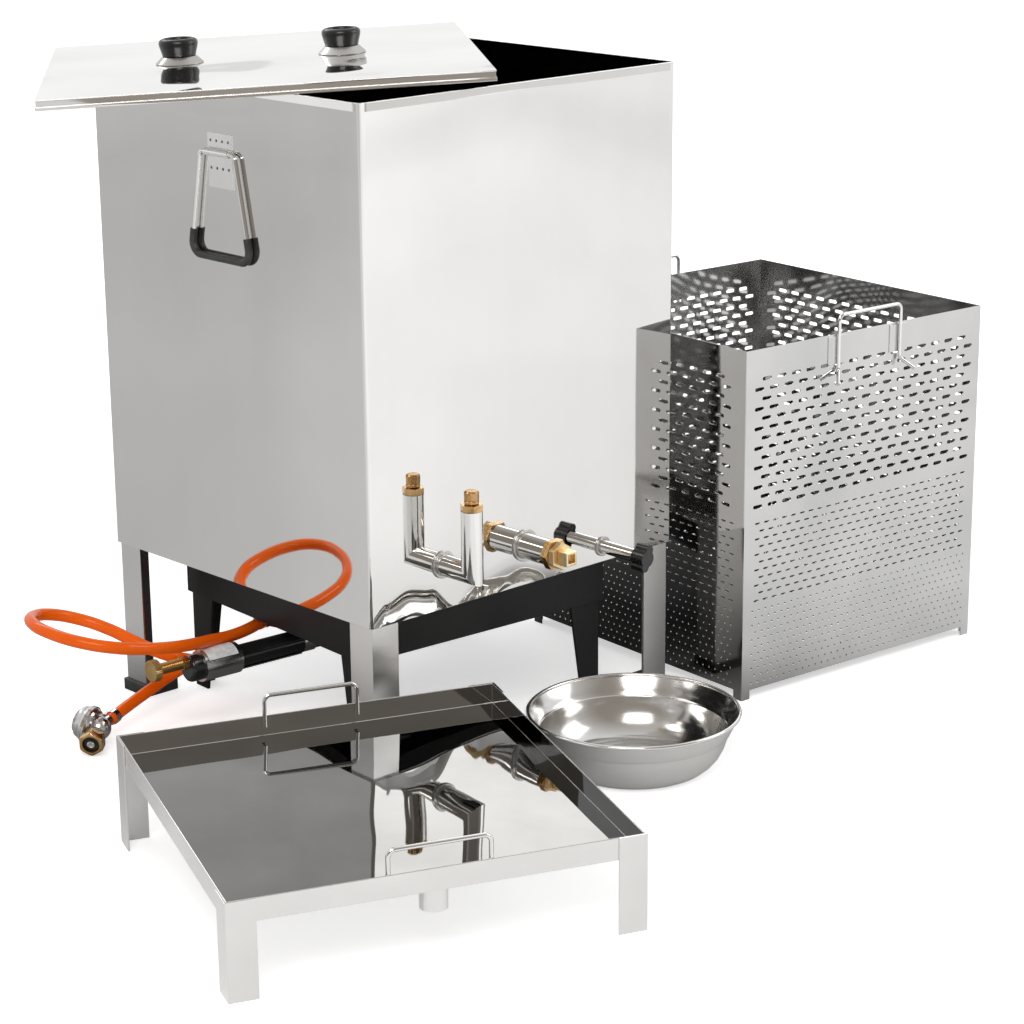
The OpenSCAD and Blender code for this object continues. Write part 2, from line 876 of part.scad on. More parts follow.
module lid_cover() {
    color(steel)
        on_lid()
            difference() {
                translate([-lid_w / 2, -lid_w / 2, lid_h - lid_sheet])
                    cube([lid_w, lid_w, lid_sheet]);
                at_knobs()
                    translate([0, 0, -2 * lid_sheet])
                        cylinder(d = screw_d + 2 * screw_clear, h = 3 * lid_sheet);
            }
}

module lid_knob_bases() {
    lip = 1.5;
    color(dull_steel)
        on_lid()
            at_knobs()
                difference() {
                    union() {
                        cylinder(d = knob_base_d, h = lip);
                        translate([0, 0, lip])
                            cylinder(d1 = knob_base_d, d2 = knob_foot_d, h = knob_base_h - lip);
                    }
                    translate([0, 0, -1])
                        cylinder(d = screw_d + 2 * screw_clear, h = knob_base_h + 2);
                }
}

// Turned profile of the knob, with its dished top
module knob_profile() {
    foot_r = knob_foot_d / 2;
    top_r = knob_d / 2;
    round_r = knob_h / 6;
    dish_r = knob_d / 3;
    polygon([
        [0, 0], [foot_r, 0], [foot_r + 0.5, knob_h * 0.2], [top_r - 1, knob_h * 0.6],
        [top_r, knob_h - 1.6 * round_r], [top_r - 0.3 * round_r, knob_h - 0.6 * round_r],
        [top_r - round_r, knob_h - 0.1 * round_r], [dish_r + 1, knob_h],
        [dish_r, knob_h - 1.5], [0, knob_h - 3]]);
}

knob_bore_h = knob_h * 0.6;
module lid_knobs() {
    color(black)
        on_lid()
            at_knobs()
                translate([0, 0, knob_base_h])
                    difference() {
                        rotate_extrude()
                            knob_profile();
                        translate([0, 0, -1])
                            cylinder(d = screw_d, h = knob_bore_h + 1);
                    }
}

module lid_knob_screws() {
    head_h2 = min(3, lid_h - 3 * lid_sheet);
    color(dull_steel)
        on_lid()
            at_knobs() {
                translate([0, 0, -lid_sheet - head_h2])
                    hex_bar(screw_d * 1.7, head_h2);
                translate([0, 0, -lid_sheet])
                    cylinder(d = screw_d, h = lid_sheet + knob_base_h + knob_bore_h);
            }
}

// Basket

module on_basket() {
    translate([basket_x, basket_y, 0])
        rotate([0, 0, basket_turn])
            children();
}

// Places of the slots in rows, every second row moved by half a pitch
function slot_places(w, z_low, z_high, l, pitch, row) =
    let (room = w - 2 * panel_margin - l, span = floor(room / pitch) * pitch)
    [for (j = [0 : floor((z_high - z_low) / row) - 1])
        for (x = [-span / 2 + (j % 2) * pitch / 2 : pitch : room / 2])
            [x, z_low + (j + 0.5) * row]];

// Slot with pointed ends
module slot(l, h) {
    polygon([
        [-l / 2, 0], [-l / 2 + h / 2, -h / 2], [l / 2 - h / 2, -h / 2],
        [l / 2, 0], [l / 2 - h / 2, h / 2], [-l / 2 + h / 2, h / 2]]);
}

// Flat panel standing on two corner feet, x along it and y up
module basket_panel(w) {
    long_top = basket_h - panel_band;
    long_low = long_top - long_zone;
    short_low = long_low - short_zone;
    dot_low = basket_foot_h + panel_margin;
    linear_extrude(basket_sheet)
        difference() {
            polygon([
                [-w / 2, 0], [-w / 2 + basket_foot_w, 0], [-w / 2 + basket_foot_w, basket_foot_h],
                [w / 2 - basket_foot_w, basket_foot_h], [w / 2 - basket_foot_w, 0], [w / 2, 0],
                [w / 2, basket_h], [-w / 2, basket_h]]);
            for (q = slot_places(w, long_low, long_top, long_slot_l, long_pitch, long_row))
                translate(q)
                    slot(long_slot_l, long_slot_h);
            for (q = slot_places(w, short_low, long_low, short_slot_l, short_pitch, short_row))
                translate(q)
                    square([short_slot_l, short_slot_h], center = true);
            for (q = slot_places(w, dot_low, short_low, dot_d, dot_pitch, dot_row))
                translate(q)
                    circle(d = dot_d, $fn = 16);
        }
}

// Front and rear panels run the full width, the side panels fit between them
module basket_wide_panel(turn) {
    color(steel)
        on_basket()
            rotate([0, 0, turn])
                translate([0, -basket_w / 2 + basket_sheet, 0])
                    rotate([90, 0, 0])
                        basket_panel(basket_w);
}

module basket_side_panel(turn) {
    color(steel)
        on_basket()
            rotate([0, 0, turn])
                translate([0, -basket_w / 2 + basket_sheet, 0])
                    rotate([90, 0, 0])
                        basket_panel(basket_w - 2 * basket_sheet);
}

module basket_floor() {
    w = basket_w - 2 * basket_sheet;
    pitch = 1.5 * dot_pitch;
    n = floor((w - 4 * panel_margin) / pitch);
    color(steel)
        on_basket()
            translate([0, 0, basket_foot_h])
                linear_extrude(basket_sheet)
                    difference() {
                        square(w, center = true);
                        for (i = [0 : n], j = [0 : n])
                            translate([(i - n / 2) * pitch, (j - n / 2) * pitch])
                                circle(d = dot_d, $fn = 16);
                    }
}

// Wire handle whose lower ends hook outwards, in front of its plates
grip_plate_t = 1.2;
grip_hook = 14;
grip_bend = 8;
module basket_grip(turn) {
    x = basket_grip_w / 2;
    y = -basket_w / 2 - grip_plate_t - wire_d / 2;
    top = basket_h + basket_grip_up;
    low = basket_h - basket_grip_down;
    path = [
        [-x - grip_hook, y - grip_hook, low - grip_hook], [-x, y, low], [-x, y, top],
        [x, y, top], [x, y, low], [x + grip_hook, y - grip_hook, low - grip_hook]];
    color(dull_steel)
        on_basket()
            rotate([0, 0, turn])
                sweep(round_path(path, [grip_bend, grip_bend, grip_bend, grip_bend]), [0, 1, 0], wire_d);
}

module basket_grip_plates() {
    color(dull_steel)
        on_basket()
            for (turn = [0, 180], s = [-1, 1])
                rotate([0, 0, turn])
                    translate([
                        s * basket_grip_w / 2 - grip_plate_w / 2,
                        -basket_w / 2 - grip_plate_t,
                        basket_h - grip_plate_h - 2])
                        cube([grip_plate_w, grip_plate_t, grip_plate_h]);
}

// Catch tray: the walls stand upright, the rim and the floor fall to the front

module on_tray() {
    translate([tray_x, tray_y, 0])
        rotate([0, 0, tray_turn])
            children();
}

pan_w = tray_w - 2 * tray_leg_t;
pan_d = tray_d - 2 * tray_leg_t;
function rim_z(y) = tray_front_h + tray_fall * (y / tray_d + 0.5);

// Prism across the tray between two falling planes, given by their drop below the rim
module falling_slab(w, d, low, high) {
    y = d / 2;
    rotate([90, 0, 90])
        translate([0, 0, -w / 2])
            linear_extrude(w)
                polygon([
                    [-y, rim_z(-y) - low], [y, rim_z(y) - low],
                    [y, rim_z(y) - high], [-y, rim_z(-y) - high]]);
}

spout_y = -pan_d / 2 + tray_sheet + spout_back;
spout_bore = spout_d - 2 * tray_sheet;
module tray_pan() {
    inner_w = pan_w - 2 * tray_sheet;
    inner_d = pan_d - 2 * tray_sheet;
    color(steel)
        on_tray()
            difference() {
                falling_slab(pan_w, pan_d, tray_wall_h, 0);
                falling_slab(inner_w, inner_d, tray_wall_h - tray_sheet, -tray_wall_h);
                translate([0, spout_y, 0])
                    cylinder(d = spout_bore, h = tray_front_h);
            }
}

module tray_leg(sx, sy) {
    color(steel)
        on_tray()
            intersection() {
                translate([sx * tray_w / 2, sy * tray_d / 2, 0])
                    mirror([sx > 0 ? 1 : 0, 0, 0])
                        mirror([0, sy > 0 ? 1 : 0, 0])
                            linear_extrude(2 * tray_front_h)
                                angle_profile(tray_leg_w, tray_leg_t);
                falling_slab(2 * tray_w, 2 * tray_d, 2 * tray_front_h, 0);
            }
}

module tray_spout() {
    under = rim_z(spout_y) - tray_wall_h;
    color(steel)
        on_tray()
            intersection() {
                translate([0, spout_y, under - spout_l])
                    tube(spout_d, spout_bore, 2 * spout_l);
                falling_slab(pan_w, pan_d, 2 * tray_front_h, tray_wall_h);
            }
}

// Wire handle on the inner face of the front or rear wall
module tray_grip(sy) {
    x = tray_grip_w / 2;
    y = sy * (pan_d / 2 - tray_sheet - wire_d / 2);
    top = rim_z(y) + tray_grip_up;
    low = rim_z(y) - tray_wall_h / 2;
    path = [[-x, y, low], [-x, y, top], [x, y, top], [x, y, low]];
    color(dull_steel)
        on_tray()
            sweep(round_path(path, [grip_bend, grip_bend]), [0, 1, 0], wire_d);
}

// Bowl: spun sheet with a stepped wall and a rolled rim

module bowl() {
    base_r = bowl_base_d / 2;
    rim_r = bowl_d / 2 - bowl_roll_d / 2;
    rim_z = bowl_h - bowl_roll_d / 2;
    step_r = lerp(base_r, rim_r, 0.72);
    step_z = bowl_h * 0.62;
    outer = [
        [0, 0], [base_r, 0], [lerp(base_r, step_r, 0.45), bowl_h * 0.12],
        [lerp(base_r, step_r, 0.82), bowl_h * 0.34], [step_r, step_z],
        [step_r + 2.5, step_z + 2], [lerp(step_r, rim_r, 0.75), bowl_h * 0.86], [rim_r, rim_z]];
    n = len(outer);
    inner = [for (i = [n - 1 : -1 : 0])
        [max(0, outer[i][0] - (i == 0 ? 0 : bowl_sheet)), outer[i][1] + bowl_sheet]];
    color(steel)
        translate([bowl_x, bowl_y, 0])
            rotate_extrude($fn = 96) {
                polygon(concat(outer, inner));
                translate([rim_r, rim_z])
                    circle(d = bowl_roll_d, $fn = 24);
            }
}

// Burner stand

module on_stand() {
    rotate([0, 0, stand_turn])
        children();
}

// Angle rail along x with its outer face on y = 0 and its flange turned inwards at the top
module rail(l) {
    translate([-l / 2, 0, rail_z])
        cube([l, rail_t, rail_h]);
    translate([-l / 2, 0, stand_h - rail_t])
        cube([l, rail_flange, rail_t]);
}

module stand_rails() {
    short = stand_w - 2 * rail_flange - 2 * weld_gap;
    color(black)
        on_stand()
            for (turn = [0 : 90 : 270])
                rotate([0, 0, turn])
                    translate([0, -stand_w / 2, 0]) {
                        if (turn % 180 == 0)
                            rail(stand_w);
                        else
                            rail_between(short);
                    }
}

// Side rail whose flange stops short of the front and rear flanges
module rail_between(flange_l) {
    l = stand_w - 2 * rail_t - 2 * weld_gap;
    translate([-l / 2, 0, rail_z])
        cube([l, rail_t, rail_h - rail_t - weld_gap]);
    translate([-flange_l / 2, 0, stand_h - 2 * rail_t])
        cube([flange_l, rail_flange, 2 * rail_t]);
}

// Tapered angle leg inside the corner of the rails
module stand_leg_plate() {
    h = stand_h - 2 * rail_t - weld_gap;
    rotate([90, 0, 0])
        translate([0, 0, -stand_leg_t])
            linear_extrude(stand_leg_t)
                polygon([[0, 0], [stand_leg_low, 0], [stand_leg_top, rail_z], [stand_leg_top, h], [0, h]]);
}

module stand_legs() {
    in = stand_w / 2 - rail_t - weld_gap;
    color(black)
        on_stand()
            for (sx = [-1, 1], sy = [-1, 1])
                translate([sx * in, sy * in, 0])
                    mirror([sx > 0 ? 1 : 0, 0, 0])
                        mirror([0, sy > 0 ? 1 : 0, 0]) {
                            stand_leg_plate();
                            mirror([1, -1, 0])
                                stand_leg_plate();
                        }
}

module burner_bars() {
    l = stand_w - 2 * rail_t;
    color(black)
        on_stand()
            for (x = [-head_hole_d / 4, head_d / 3])
                translate([x - bar_w / 2, -l / 2, rail_z])
                    cube([bar_w, l, bar_t]);
}

// Burner

// Places children on the tube's axis, with z pointing out to the stand's side
module on_tube(up) {
    on_stand()
        translate([0, 0, tube_z + up])
            rotate([0, -90, 0])
                children();
}

tube_in = -boss_x + boss_w / 2;
band_d = tube_d + 3;

module burner_head() {
    port_r = (head_d + head_hole_d) / 4;
    color(black)
        on_stand() {
            translate([0, 0, head_z])
                difference() {
                    tube(head_d, head_hole_d, head_h);
                    for (k = [0 : port_count - 1])
                        rotate([0, 0, k * 360 / port_count])
                            translate([port_r, 0, head_h / 2])
                                cylinder(d = port_d, h = head_h);
                }
            translate([boss_x - boss_w / 2, -boss_w / 2, tube_z - tube_d / 2 - 2])
                cube([boss_w, boss_w, tube_drop + tube_d / 2 + 2]);
        }
}

module mixing_tube() {
    color(black)
        on_tube(0)
            translate([0, 0, tube_in])
                tube(tube_d, tube_d - 2 * pipe_wall, tube_reach - tube_in);
}

module jet_body() {
    round_r = 5;
    color(black)
        on_tube(0)
            translate([0, 0, tube_reach])
                difference() {
                    rotate_extrude()
                        union() {
                            square([jet_d / 2, jet_l - round_r]);
                            square([jet_d / 2 - round_r, jet_l]);
                            translate([jet_d / 2 - round_r, jet_l - round_r])
                                intersection() {
                                    circle(round_r);
                                    square(round_r);
                                }
                        }
                    translate([valve_up, 0, jet_l - spindle_in])
                        cylinder(d = spindle_d, h = jet_l);
                }
}

// Wrap round the joint of the tube and the jet body, with a tongue under the tube
module tube_sleeve() {
    on_jet = jet_l * 0.25;
    from = tube_reach + on_jet - sleeve_l;
    tongue_w = 14;
    tongue_t = 1.5;
    color(steel)
        on_tube(0) {
            translate([0, 0, from])
                difference() {
                    cylinder(d = sleeve_d, h = sleeve_l);
                    translate([0, 0, -1])
                        cylinder(d = tube_d, h = sleeve_l + 2);
                    translate([0, 0, sleeve_l - on_jet])
                        cylinder(d = jet_d, h = sleeve_l);
                }
            translate([-tube_d / 2 - tongue_t, -tongue_w / 2, band_at])
                cube([tongue_t, tongue_w, from - band_at]);
        }
}

module tube_band() {
    color(steel)
        on_tube(0)
            translate([0, 0, band_at - band_l])
                tube(band_d, tube_d, band_l);
}

module valve_stem() {
    color(brass)
        on_tube(valve_up) {
            translate([0, 0, jet_end - spindle_in])
                cylinder(d = spindle_d, h = spindle_in);
            translate([0, 0, jet_end])
                hex_bar(valve_af, valve_nut_l);
            translate([0, 0, nut_end])
                difference() {
                    cylinder(d = stem_d, h = stem_l);
                    translate([0, 0, stem_l - spindle_in])
                        cylinder(d = spindle_d + 2 * turn_clear, h = spindle_in + 1);
                }
        }
}

module valve_knob() {
    color(brass)
        on_tube(valve_up)
            translate([0, 0, stem_end + turn_clear]) {
                cylinder(d = valve_knob_d, h = valve_knob_t);
                translate([0, 0, -spindle_in])
                    cylinder(d = spindle_d, h = spindle_in);
            }
}

// Cast inlet on the tube's side, with the tail that the hose is pushed up to
module gas_inlet() {
    tail_l = 14;
    block = 30;
    at = hose_start + inlet_dir * tail_l;
    color(black) {
        along(hose_start, inlet_dir)
            cylinder(d = arm_d, h = tail_l);
        difference() {
            along(at, inlet_dir)
                translate([-block / 2, -block / 2, 0])
                    cube([2 * block, block, block]);
            on_tube(0)
                translate([0, 0, tube_in])
                    cylinder(d = tube_d, h = tube_reach);
            on_tube(0)
                translate([0, 0, band_at - band_l])
                    cylinder(d = band_d, h = band_l);
        }
    }
}

// Hose and regulator

module gas_hose() {
    color("orangered")
        sweep(hose_points, [0, 0, 1], hose_d);
}

module hose_clamp() {
    bore = hose_d + 0.4;
    ear = 8;
    tube(bore + 2 * clamp_t, bore, clamp_l);
    translate([bore / 2 + clamp_t / 2, -ear / 2, 0])
        cube([ear / 2 + clamp_t / 2, ear, clamp_l]);
}

module hose_clamps() {
    set_in = 5;
    color(dull_steel) {
        along(hose_start - inlet_dir * (set_in + clamp_l), inlet_dir)
            hose_clamp();
        along(hose_end - outlet_dir * (set_in + clamp_l), outlet_dir)
            hose_clamp();
    }
}

module regulator_body() {
    bonnet_l = 20;
    cap_d = bonnet_d * 0.62;
    cap_l = 4;
    color(dull_steel) {
        along(hose_end, outlet_dir)
            cylinder(d = arm_d, h = arm_l + reg_core_d / 4);
        along(reg_core, union_dir) {
            cylinder(d = neck_d, h = neck_l);
            translate([0, 0, neck_l])
                cylinder(d = neck_head_d, h = neck_head_l);
            translate([0, 0, neck_l + neck_head_l])
                cylinder(d = nipple_d, h = nipple_l);
        }
        along(reg_core, bonnet_dir) {
            sphere(d = reg_core_d);
            translate([0, 0, 6])
                cylinder(d1 = bonnet_d - 6, d2 = bonnet_d, h = 5);
            translate([0, 0, 11])
                cylinder(d = bonnet_d, h = 4);
            translate([0, 0, 15])
                cylinder(d1 = bonnet_d, d2 = cap_d + 6, h = bonnet_l - 9);
            translate([0, 0, bonnet_l + 6])
                cylinder(d = cap_d, h = cap_l);
        }
    }
}

// Union nut that turns on the neck and is held by the neck's head
module regulator_nut() {
    back = neck_l - union_l / 3;
    front = union_l - union_l / 3;
    color(brass)
        along(reg_core, union_dir)
            translate([0, 0, back])
                difference() {
                    cylinder(d = union_d, h = union_l);
                    translate([0, 0, -1])
                        cylinder(d = neck_d + 2 * turn_clear, h = union_l);
                    translate([0, 0, union_l / 3 - turn_clear])
                        cylinder(d = neck_head_d + 2, h = front + 1);
                }
}

module regulator_seal() {
    color("dimgray")
        along(reg_core, union_dir)
            translate([0, 0, neck_l + neck_head_l])
                tube(neck_head_d, nipple_d, 3);
}

// Moves the pieces so that the origin is the middle of the set on the floor
module set_frame() {
    translate([-set_x, -set_y, 0])
        children();
}

set_frame() tank_shell();
set_frame() tank_floor();
set_frame() tank_leg(-1, -1);  // tank_leg_front_left
set_frame() tank_leg(1, -1);  // tank_leg_front_right
set_frame() tank_leg(-1, 1);  // tank_leg_rear_left
set_frame() tank_leg(1, 1);  // tank_leg_rear_right
set_frame() tank_feet();
set_frame() handle_strap(-1);  // handle_strap_left
set_frame() handle_strap(1);  // handle_strap_right
set_frame() handle_bail(-1);  // handle_bail_left
set_frame() handle_bail(1);  // handle_bail_right
set_frame() handle_grip(-1);  // handle_grip_left
set_frame() handle_grip(1);  // handle_grip_right
set_frame() filler_pipe();
set_frame() filler_collar();
set_frame() filler_plug();
set_frame() outlet_pipe();
set_frame() outlet_collar();
set_frame() outlet_plug();
set_frame() drain_pipe();
set_frame() drain_wing_cap();
set_frame() pipe_weld_rings();
set_frame() lid_cover();
set_frame() lid_skirt();
set_frame() lid_knob_bases();
set_frame() lid_knobs();
set_frame() lid_knob_screws();
set_frame() basket_wide_panel(0);  // basket_front
set_frame() basket_wide_panel(180);  // basket_rear
set_frame() basket_side_panel(270);  // basket_left
set_frame() basket_side_panel(90);  // basket_right
set_frame() basket_floor();
set_frame() basket_grip(0);  // basket_grip_front
set_frame() basket_grip(180);  // basket_grip_rear
set_frame() basket_grip_plates();
set_frame() tray_pan();
set_frame() tray_leg(-1, -1);  // tray_leg_front_left
set_frame() tray_leg(1, -1);  // tray_leg_front_right
set_frame() tray_leg(-1, 1);  // tray_leg_rear_left
set_frame() tray_leg(1, 1);  // tray_leg_rear_right
set_frame() tray_spout();
set_frame() tray_grip(-1);  // tray_grip_front
set_frame() tray_grip(1);  // tray_grip_rear
set_frame() bowl();
set_frame() stand_rails();
set_frame() stand_legs();
set_frame() burner_bars();
set_frame() burner_head();
set_frame() mixing_tube();
set_frame() tube_sleeve();
set_frame() tube_band();
set_frame() jet_body();
set_frame() valve_stem();
set_frame() valve_knob();
set_frame() gas_inlet();
set_frame() gas_hose();
set_frame() hose_clamps();
set_frame() regulator_body();
set_frame() regulator_nut();
set_frame() regulator_seal();
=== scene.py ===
import json
import math

import bpy
from mathutils import Matrix, Vector


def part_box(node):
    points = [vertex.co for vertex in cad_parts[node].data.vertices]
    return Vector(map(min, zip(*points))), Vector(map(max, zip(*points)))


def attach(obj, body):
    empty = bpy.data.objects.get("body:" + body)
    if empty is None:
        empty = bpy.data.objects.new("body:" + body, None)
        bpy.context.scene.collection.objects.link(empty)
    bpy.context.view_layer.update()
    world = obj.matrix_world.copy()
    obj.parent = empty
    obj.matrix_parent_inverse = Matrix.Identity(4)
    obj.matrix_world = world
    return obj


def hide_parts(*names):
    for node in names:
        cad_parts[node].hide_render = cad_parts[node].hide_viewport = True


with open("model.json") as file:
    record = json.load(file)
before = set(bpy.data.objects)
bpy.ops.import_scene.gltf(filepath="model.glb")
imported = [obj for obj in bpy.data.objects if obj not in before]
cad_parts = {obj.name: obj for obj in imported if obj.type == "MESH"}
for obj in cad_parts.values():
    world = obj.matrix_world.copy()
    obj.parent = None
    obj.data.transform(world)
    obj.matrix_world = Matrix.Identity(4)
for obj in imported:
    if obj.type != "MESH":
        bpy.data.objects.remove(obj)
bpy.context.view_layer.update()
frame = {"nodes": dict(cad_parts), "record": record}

bl_info = {
    "name": "Gas wax melter",
    "version": (1, 0, 0),
    "blender": (4, 5, 0),
    "location": "View3D > Sidebar > Melter",
    "description": "Models the fine pieces and finishes of a gas wax melter round its solid frame",
    "category": "Object",
}

MM = 0.001
CORNERS = ("front_left", "front_right", "rear_left", "rear_right")
BODY_OF = {node: body for body, nodes in frame["record"]["behaviour"]["bodies"].items() for node in nodes}


# Places of the groups, from the frame's own boxes

def middle(node):
    low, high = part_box(node)
    return (low + high) / 2


def moved(x, y, z):
    return Matrix.Translation((x, y, z))


def lifted(z):
    return moved(0, 0, z)


def spun(degrees, axis="Z"):
    return Matrix.Rotation(math.radians(degrees), 4, axis)


def spot(node, degrees):
    """Frame on the floor under the middle of a node, turned about the vertical."""
    at = middle(node)
    return moved(at.x, at.y, 0) @ spun(degrees)


LID_TURN = -37
BASKET_TURN = -5
TRAY_TURN = -22
STAND_TURN = -4

TANK = spot("tank_shell", 0)
BASKET = spot("basket_floor", BASKET_TURN)
TRAY = spot("tray_pan", TRAY_TURN)
BOWL = spot("bowl", 0)
STAND = TANK @ spun(STAND_TURN)


def on_front(x, z):
    """Frame on the tank's front, with z pointing out of it and y up."""
    s = bpy.context.scene.melter_sizes
    return TANK @ moved(x, -s.tank_width / 2, s.tank_lift + z) @ spun(90, "X")


def on_lid():
    """Frame on the lid's middle, tipped as the lid lies on the tank's left and rear rims and their corner."""
    s = bpy.context.scene.melter_sizes
    turn = math.radians(LID_TURN)
    across, back = -math.sin(turn), math.cos(turn)
    rim = s.tank_width / 2 + s.hem
    shift = Vector((s.lid_x, s.lid_y, 0))
    left = Vector((-rim, s.lid_y - (s.lid_width / 2 - across * (rim + s.lid_x)) / back, 0))
    rear = Vector((s.lid_x + (s.lid_width / 2 - back * (rim - s.lid_y)) / across, rim, 0))
    axis = (rear - left).normalized()
    tip = math.asin((s.lid_height - s.lid_sheet) / (axis.x * (rim - left.y)))
    high = lifted(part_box("tank_shell")[1].z + s.lid_gap)
    tipped = moved(*left) @ Matrix.Rotation(-tip, 4, axis) @ moved(*(shift - left))
    return TANK @ high @ tipped @ spun(LID_TURN) @ lifted(s.lid_height)


def along(point, direction):
    """Frame at a point, with z along a direction."""
    z = Vector(direction).normalized()
    x = z.cross(Vector((0, 0, 1))).normalized()
    y = x.cross(z)
    turn = Matrix((x, y, z)).transposed().to_4x4()
    return TANK @ moved(*point) @ turn


# Sizes and colours that a user would change, each labelled by its own name

def size(text, millimetres):
    return bpy.props.FloatProperty(description=text, default=millimetres * MM, unit="LENGTH", precision=4)


def colour(text, *rgb):
    return bpy.props.FloatVectorProperty(description=text, default=rgb, subtype="COLOR", min=0, max=1)


def number(text, value, **limits):
    return bpy.props.FloatProperty(description=text, default=value, **limits)


def count(text, value):
    return bpy.props.IntProperty(description=text, default=value, min=1)


class MelterSizes(bpy.types.PropertyGroup):
    """Sizes of the tank's fittings, lid knobs, tray and bowl"""

    tank_width: size("Width and depth of the tank", 500)
    tank_lift: size("Height of the tank's floor over the ground", 200)
    tank_fold: size("Radius of the tank's upright folds", 3.2)
    hem: size("Thickness of the folded hem round the mouth", 1.5)
    hem_height: size("Height of the folded hem round the mouth", 10)
    hem_flare: size("How far the hem's free edge stands off the wall", 0.6)
    pivot_height: size("Height of the handles' pivots", 725)
    pivot_out: size("Distance of the pivot from the wall", 5)
    rod: size("Diameter of the handles' rod", 6)
    bail_top: size("Width of the bail at its pivot", 64)
    bail_low: size("Width of the bail at its grip", 112)
    bail_drop: size("Length of the bail under its pivot", 124)
    bail_top_bend: size("Bend radius beside the pivot", 8)
    bail_low_bend: size("Bend radius beside the grip", 14)
    grip: size("Diameter of the black sleeve", 9.4)
    grip_up: size("Length of the sleeve up each arm", 30)
    strap: size("Thickness of the handle's strap", 1.5)
    weld_dot: size("Diameter of a spot weld on the strap", 3.6)
    filler_x: size("Place of the filler across the front", -138)
    filler_z: size("Height of the filler over the tank's floor", 55)
    filler_reach: size("Reach of the filler's stub", 51)
    filler_rise: size("Rise of the filler's pipe", 76)
    collar_height: size("Height of the filler's collar", 8)
    plug: size("Diameter of the filler's plug", 17.5)
    plug_height: size("Height of the plug over its collar", 16)
    plug_shank: size("Diameter of the plug's shank", 14)
    outlet_x: size("Place of the wax outlet across the front", -6)
    outlet_z: size("Height of the outlet over the tank's floor", 50)
    outlet_reach: size("Reach of the outlet's pipe", 46)
    outlet_collar: size("Length of the outlet's collar", 10)
    outlet_flats: size("Width of the plug's hexagon", 30)
    outlet_hexagon: size("Length of the plug's hexagon", 9)
    outlet_square: size("Width of the plug's square head", 17)
    outlet_square_length: size("Length of the plug's square head", 16)
    outlet_shank: size("Diameter of the plug's shank", 20)
    turn_gap: size("Clearance of the turning pieces", 0.1)
    lid_width: size("Width and depth of the lid", 515)
    lid_height: size("Height of the lid's skirt and cover", 12)
    lid_sheet: size("Thickness of the lid's cover", 1.2)
    lid_x: size("Place of the lid's middle from the tank's middle, across", -121)
    lid_y: size("Place of the lid's middle from the tank's middle, back", 81)
    lid_gap: size("Clearance of the lid over the rims", 0.3)
    knob_pitch: size("Distance between the lid's knobs", 195)
    knob_base: size("Diameter of a knob's cone", 58)
    knob_base_height: size("Height of a knob's cone", 9)
    knob_foot: size("Diameter of a knob's foot", 40)
    knob: size("Diameter of a knob", 47)
    knob_height: size("Height of a knob", 21)
    tray_width: size("Width of the catch tray over its legs", 450)
    tray_depth: size("Depth of the catch tray over its legs", 440)
    tray_front: size("Height of the tray's front rim", 108)
    tray_fall: size("Rise of the tray's rim from front to rear", 19)
    tray_wall: size("Height of the tray's wall", 25)
    tray_inset: size("Distance of the wall's inner face inside the legs", 3.5)
    wire: size("Diameter of the tray's and the basket's wire", 5)
    wire_bend: size("Bend radius of the wire", 8)
    wire_grip: size("Width of a wire handle", 110)
    wire_up: size("Rise of a wire handle over its rim", 25)
    bowl: size("Diameter of the bowl over its rim", 258)
    bowl_base: size("Diameter of the bowl's flat base", 160)
    bowl_height: size("Height of the bowl", 71)
    bowl_sheet: size("Thickness of the bowl's sheet", 1.2)
    bowl_roll: size("Diameter of the rolled rim", 5)


class MelterBasket(bpy.types.PropertyGroup):
    """Sizes of the perforated basket"""

    width: size("Width and depth of the basket", 420)
    height: size("Height of the basket's rim", 456)
    sheet: size("Thickness of the panels", 1.5)
    foot_width: size("Width of a panel's corner foot", 14)
    foot_height: size("Height of a panel's corner foot", 12)
    long_length: size("Length of the upper slots", 15.5)
    long_height: size("Height of the upper slots", 5)
    long_pitch: size("Distance of the upper slots in a row", 25)
    long_row: size("Distance between rows of upper slots", 12.6)
    long_low: size("Height of the lowest row of upper slots", 254)
    long_rows: count("Number of rows of upper slots", 14)
    short_length: size("Length of the lower slots", 8.6)
    short_height: size("Height of the lower slots", 2.5)
    short_pitch: size("Distance of the lower slots in a row", 15.6)
    short_row: size("Distance between rows of lower slots", 10.2)
    short_low: size("Height of the lowest row of lower slots", 130)
    short_rows: count("Number of rows of lower slots", 11)
    dot: size("Diameter of the drain holes", 2.8)
    dot_pitch: size("Distance of the drain holes in a row", 11.4)
    dot_row: size("Distance between rows of drain holes", 9.6)
    dot_low: size("Height of the lowest row of drain holes", 21)
    dot_rows: count("Number of rows of drain holes", 11)
    margin: size("Plain margin beside the rows", 14)
    plate: size("Thickness of the handle's plates", 1.2)
    grip_down: size("Length of the wire handle under the rim", 46)
    grip_hook: size("Length of the hook at the wire's ends", 14)


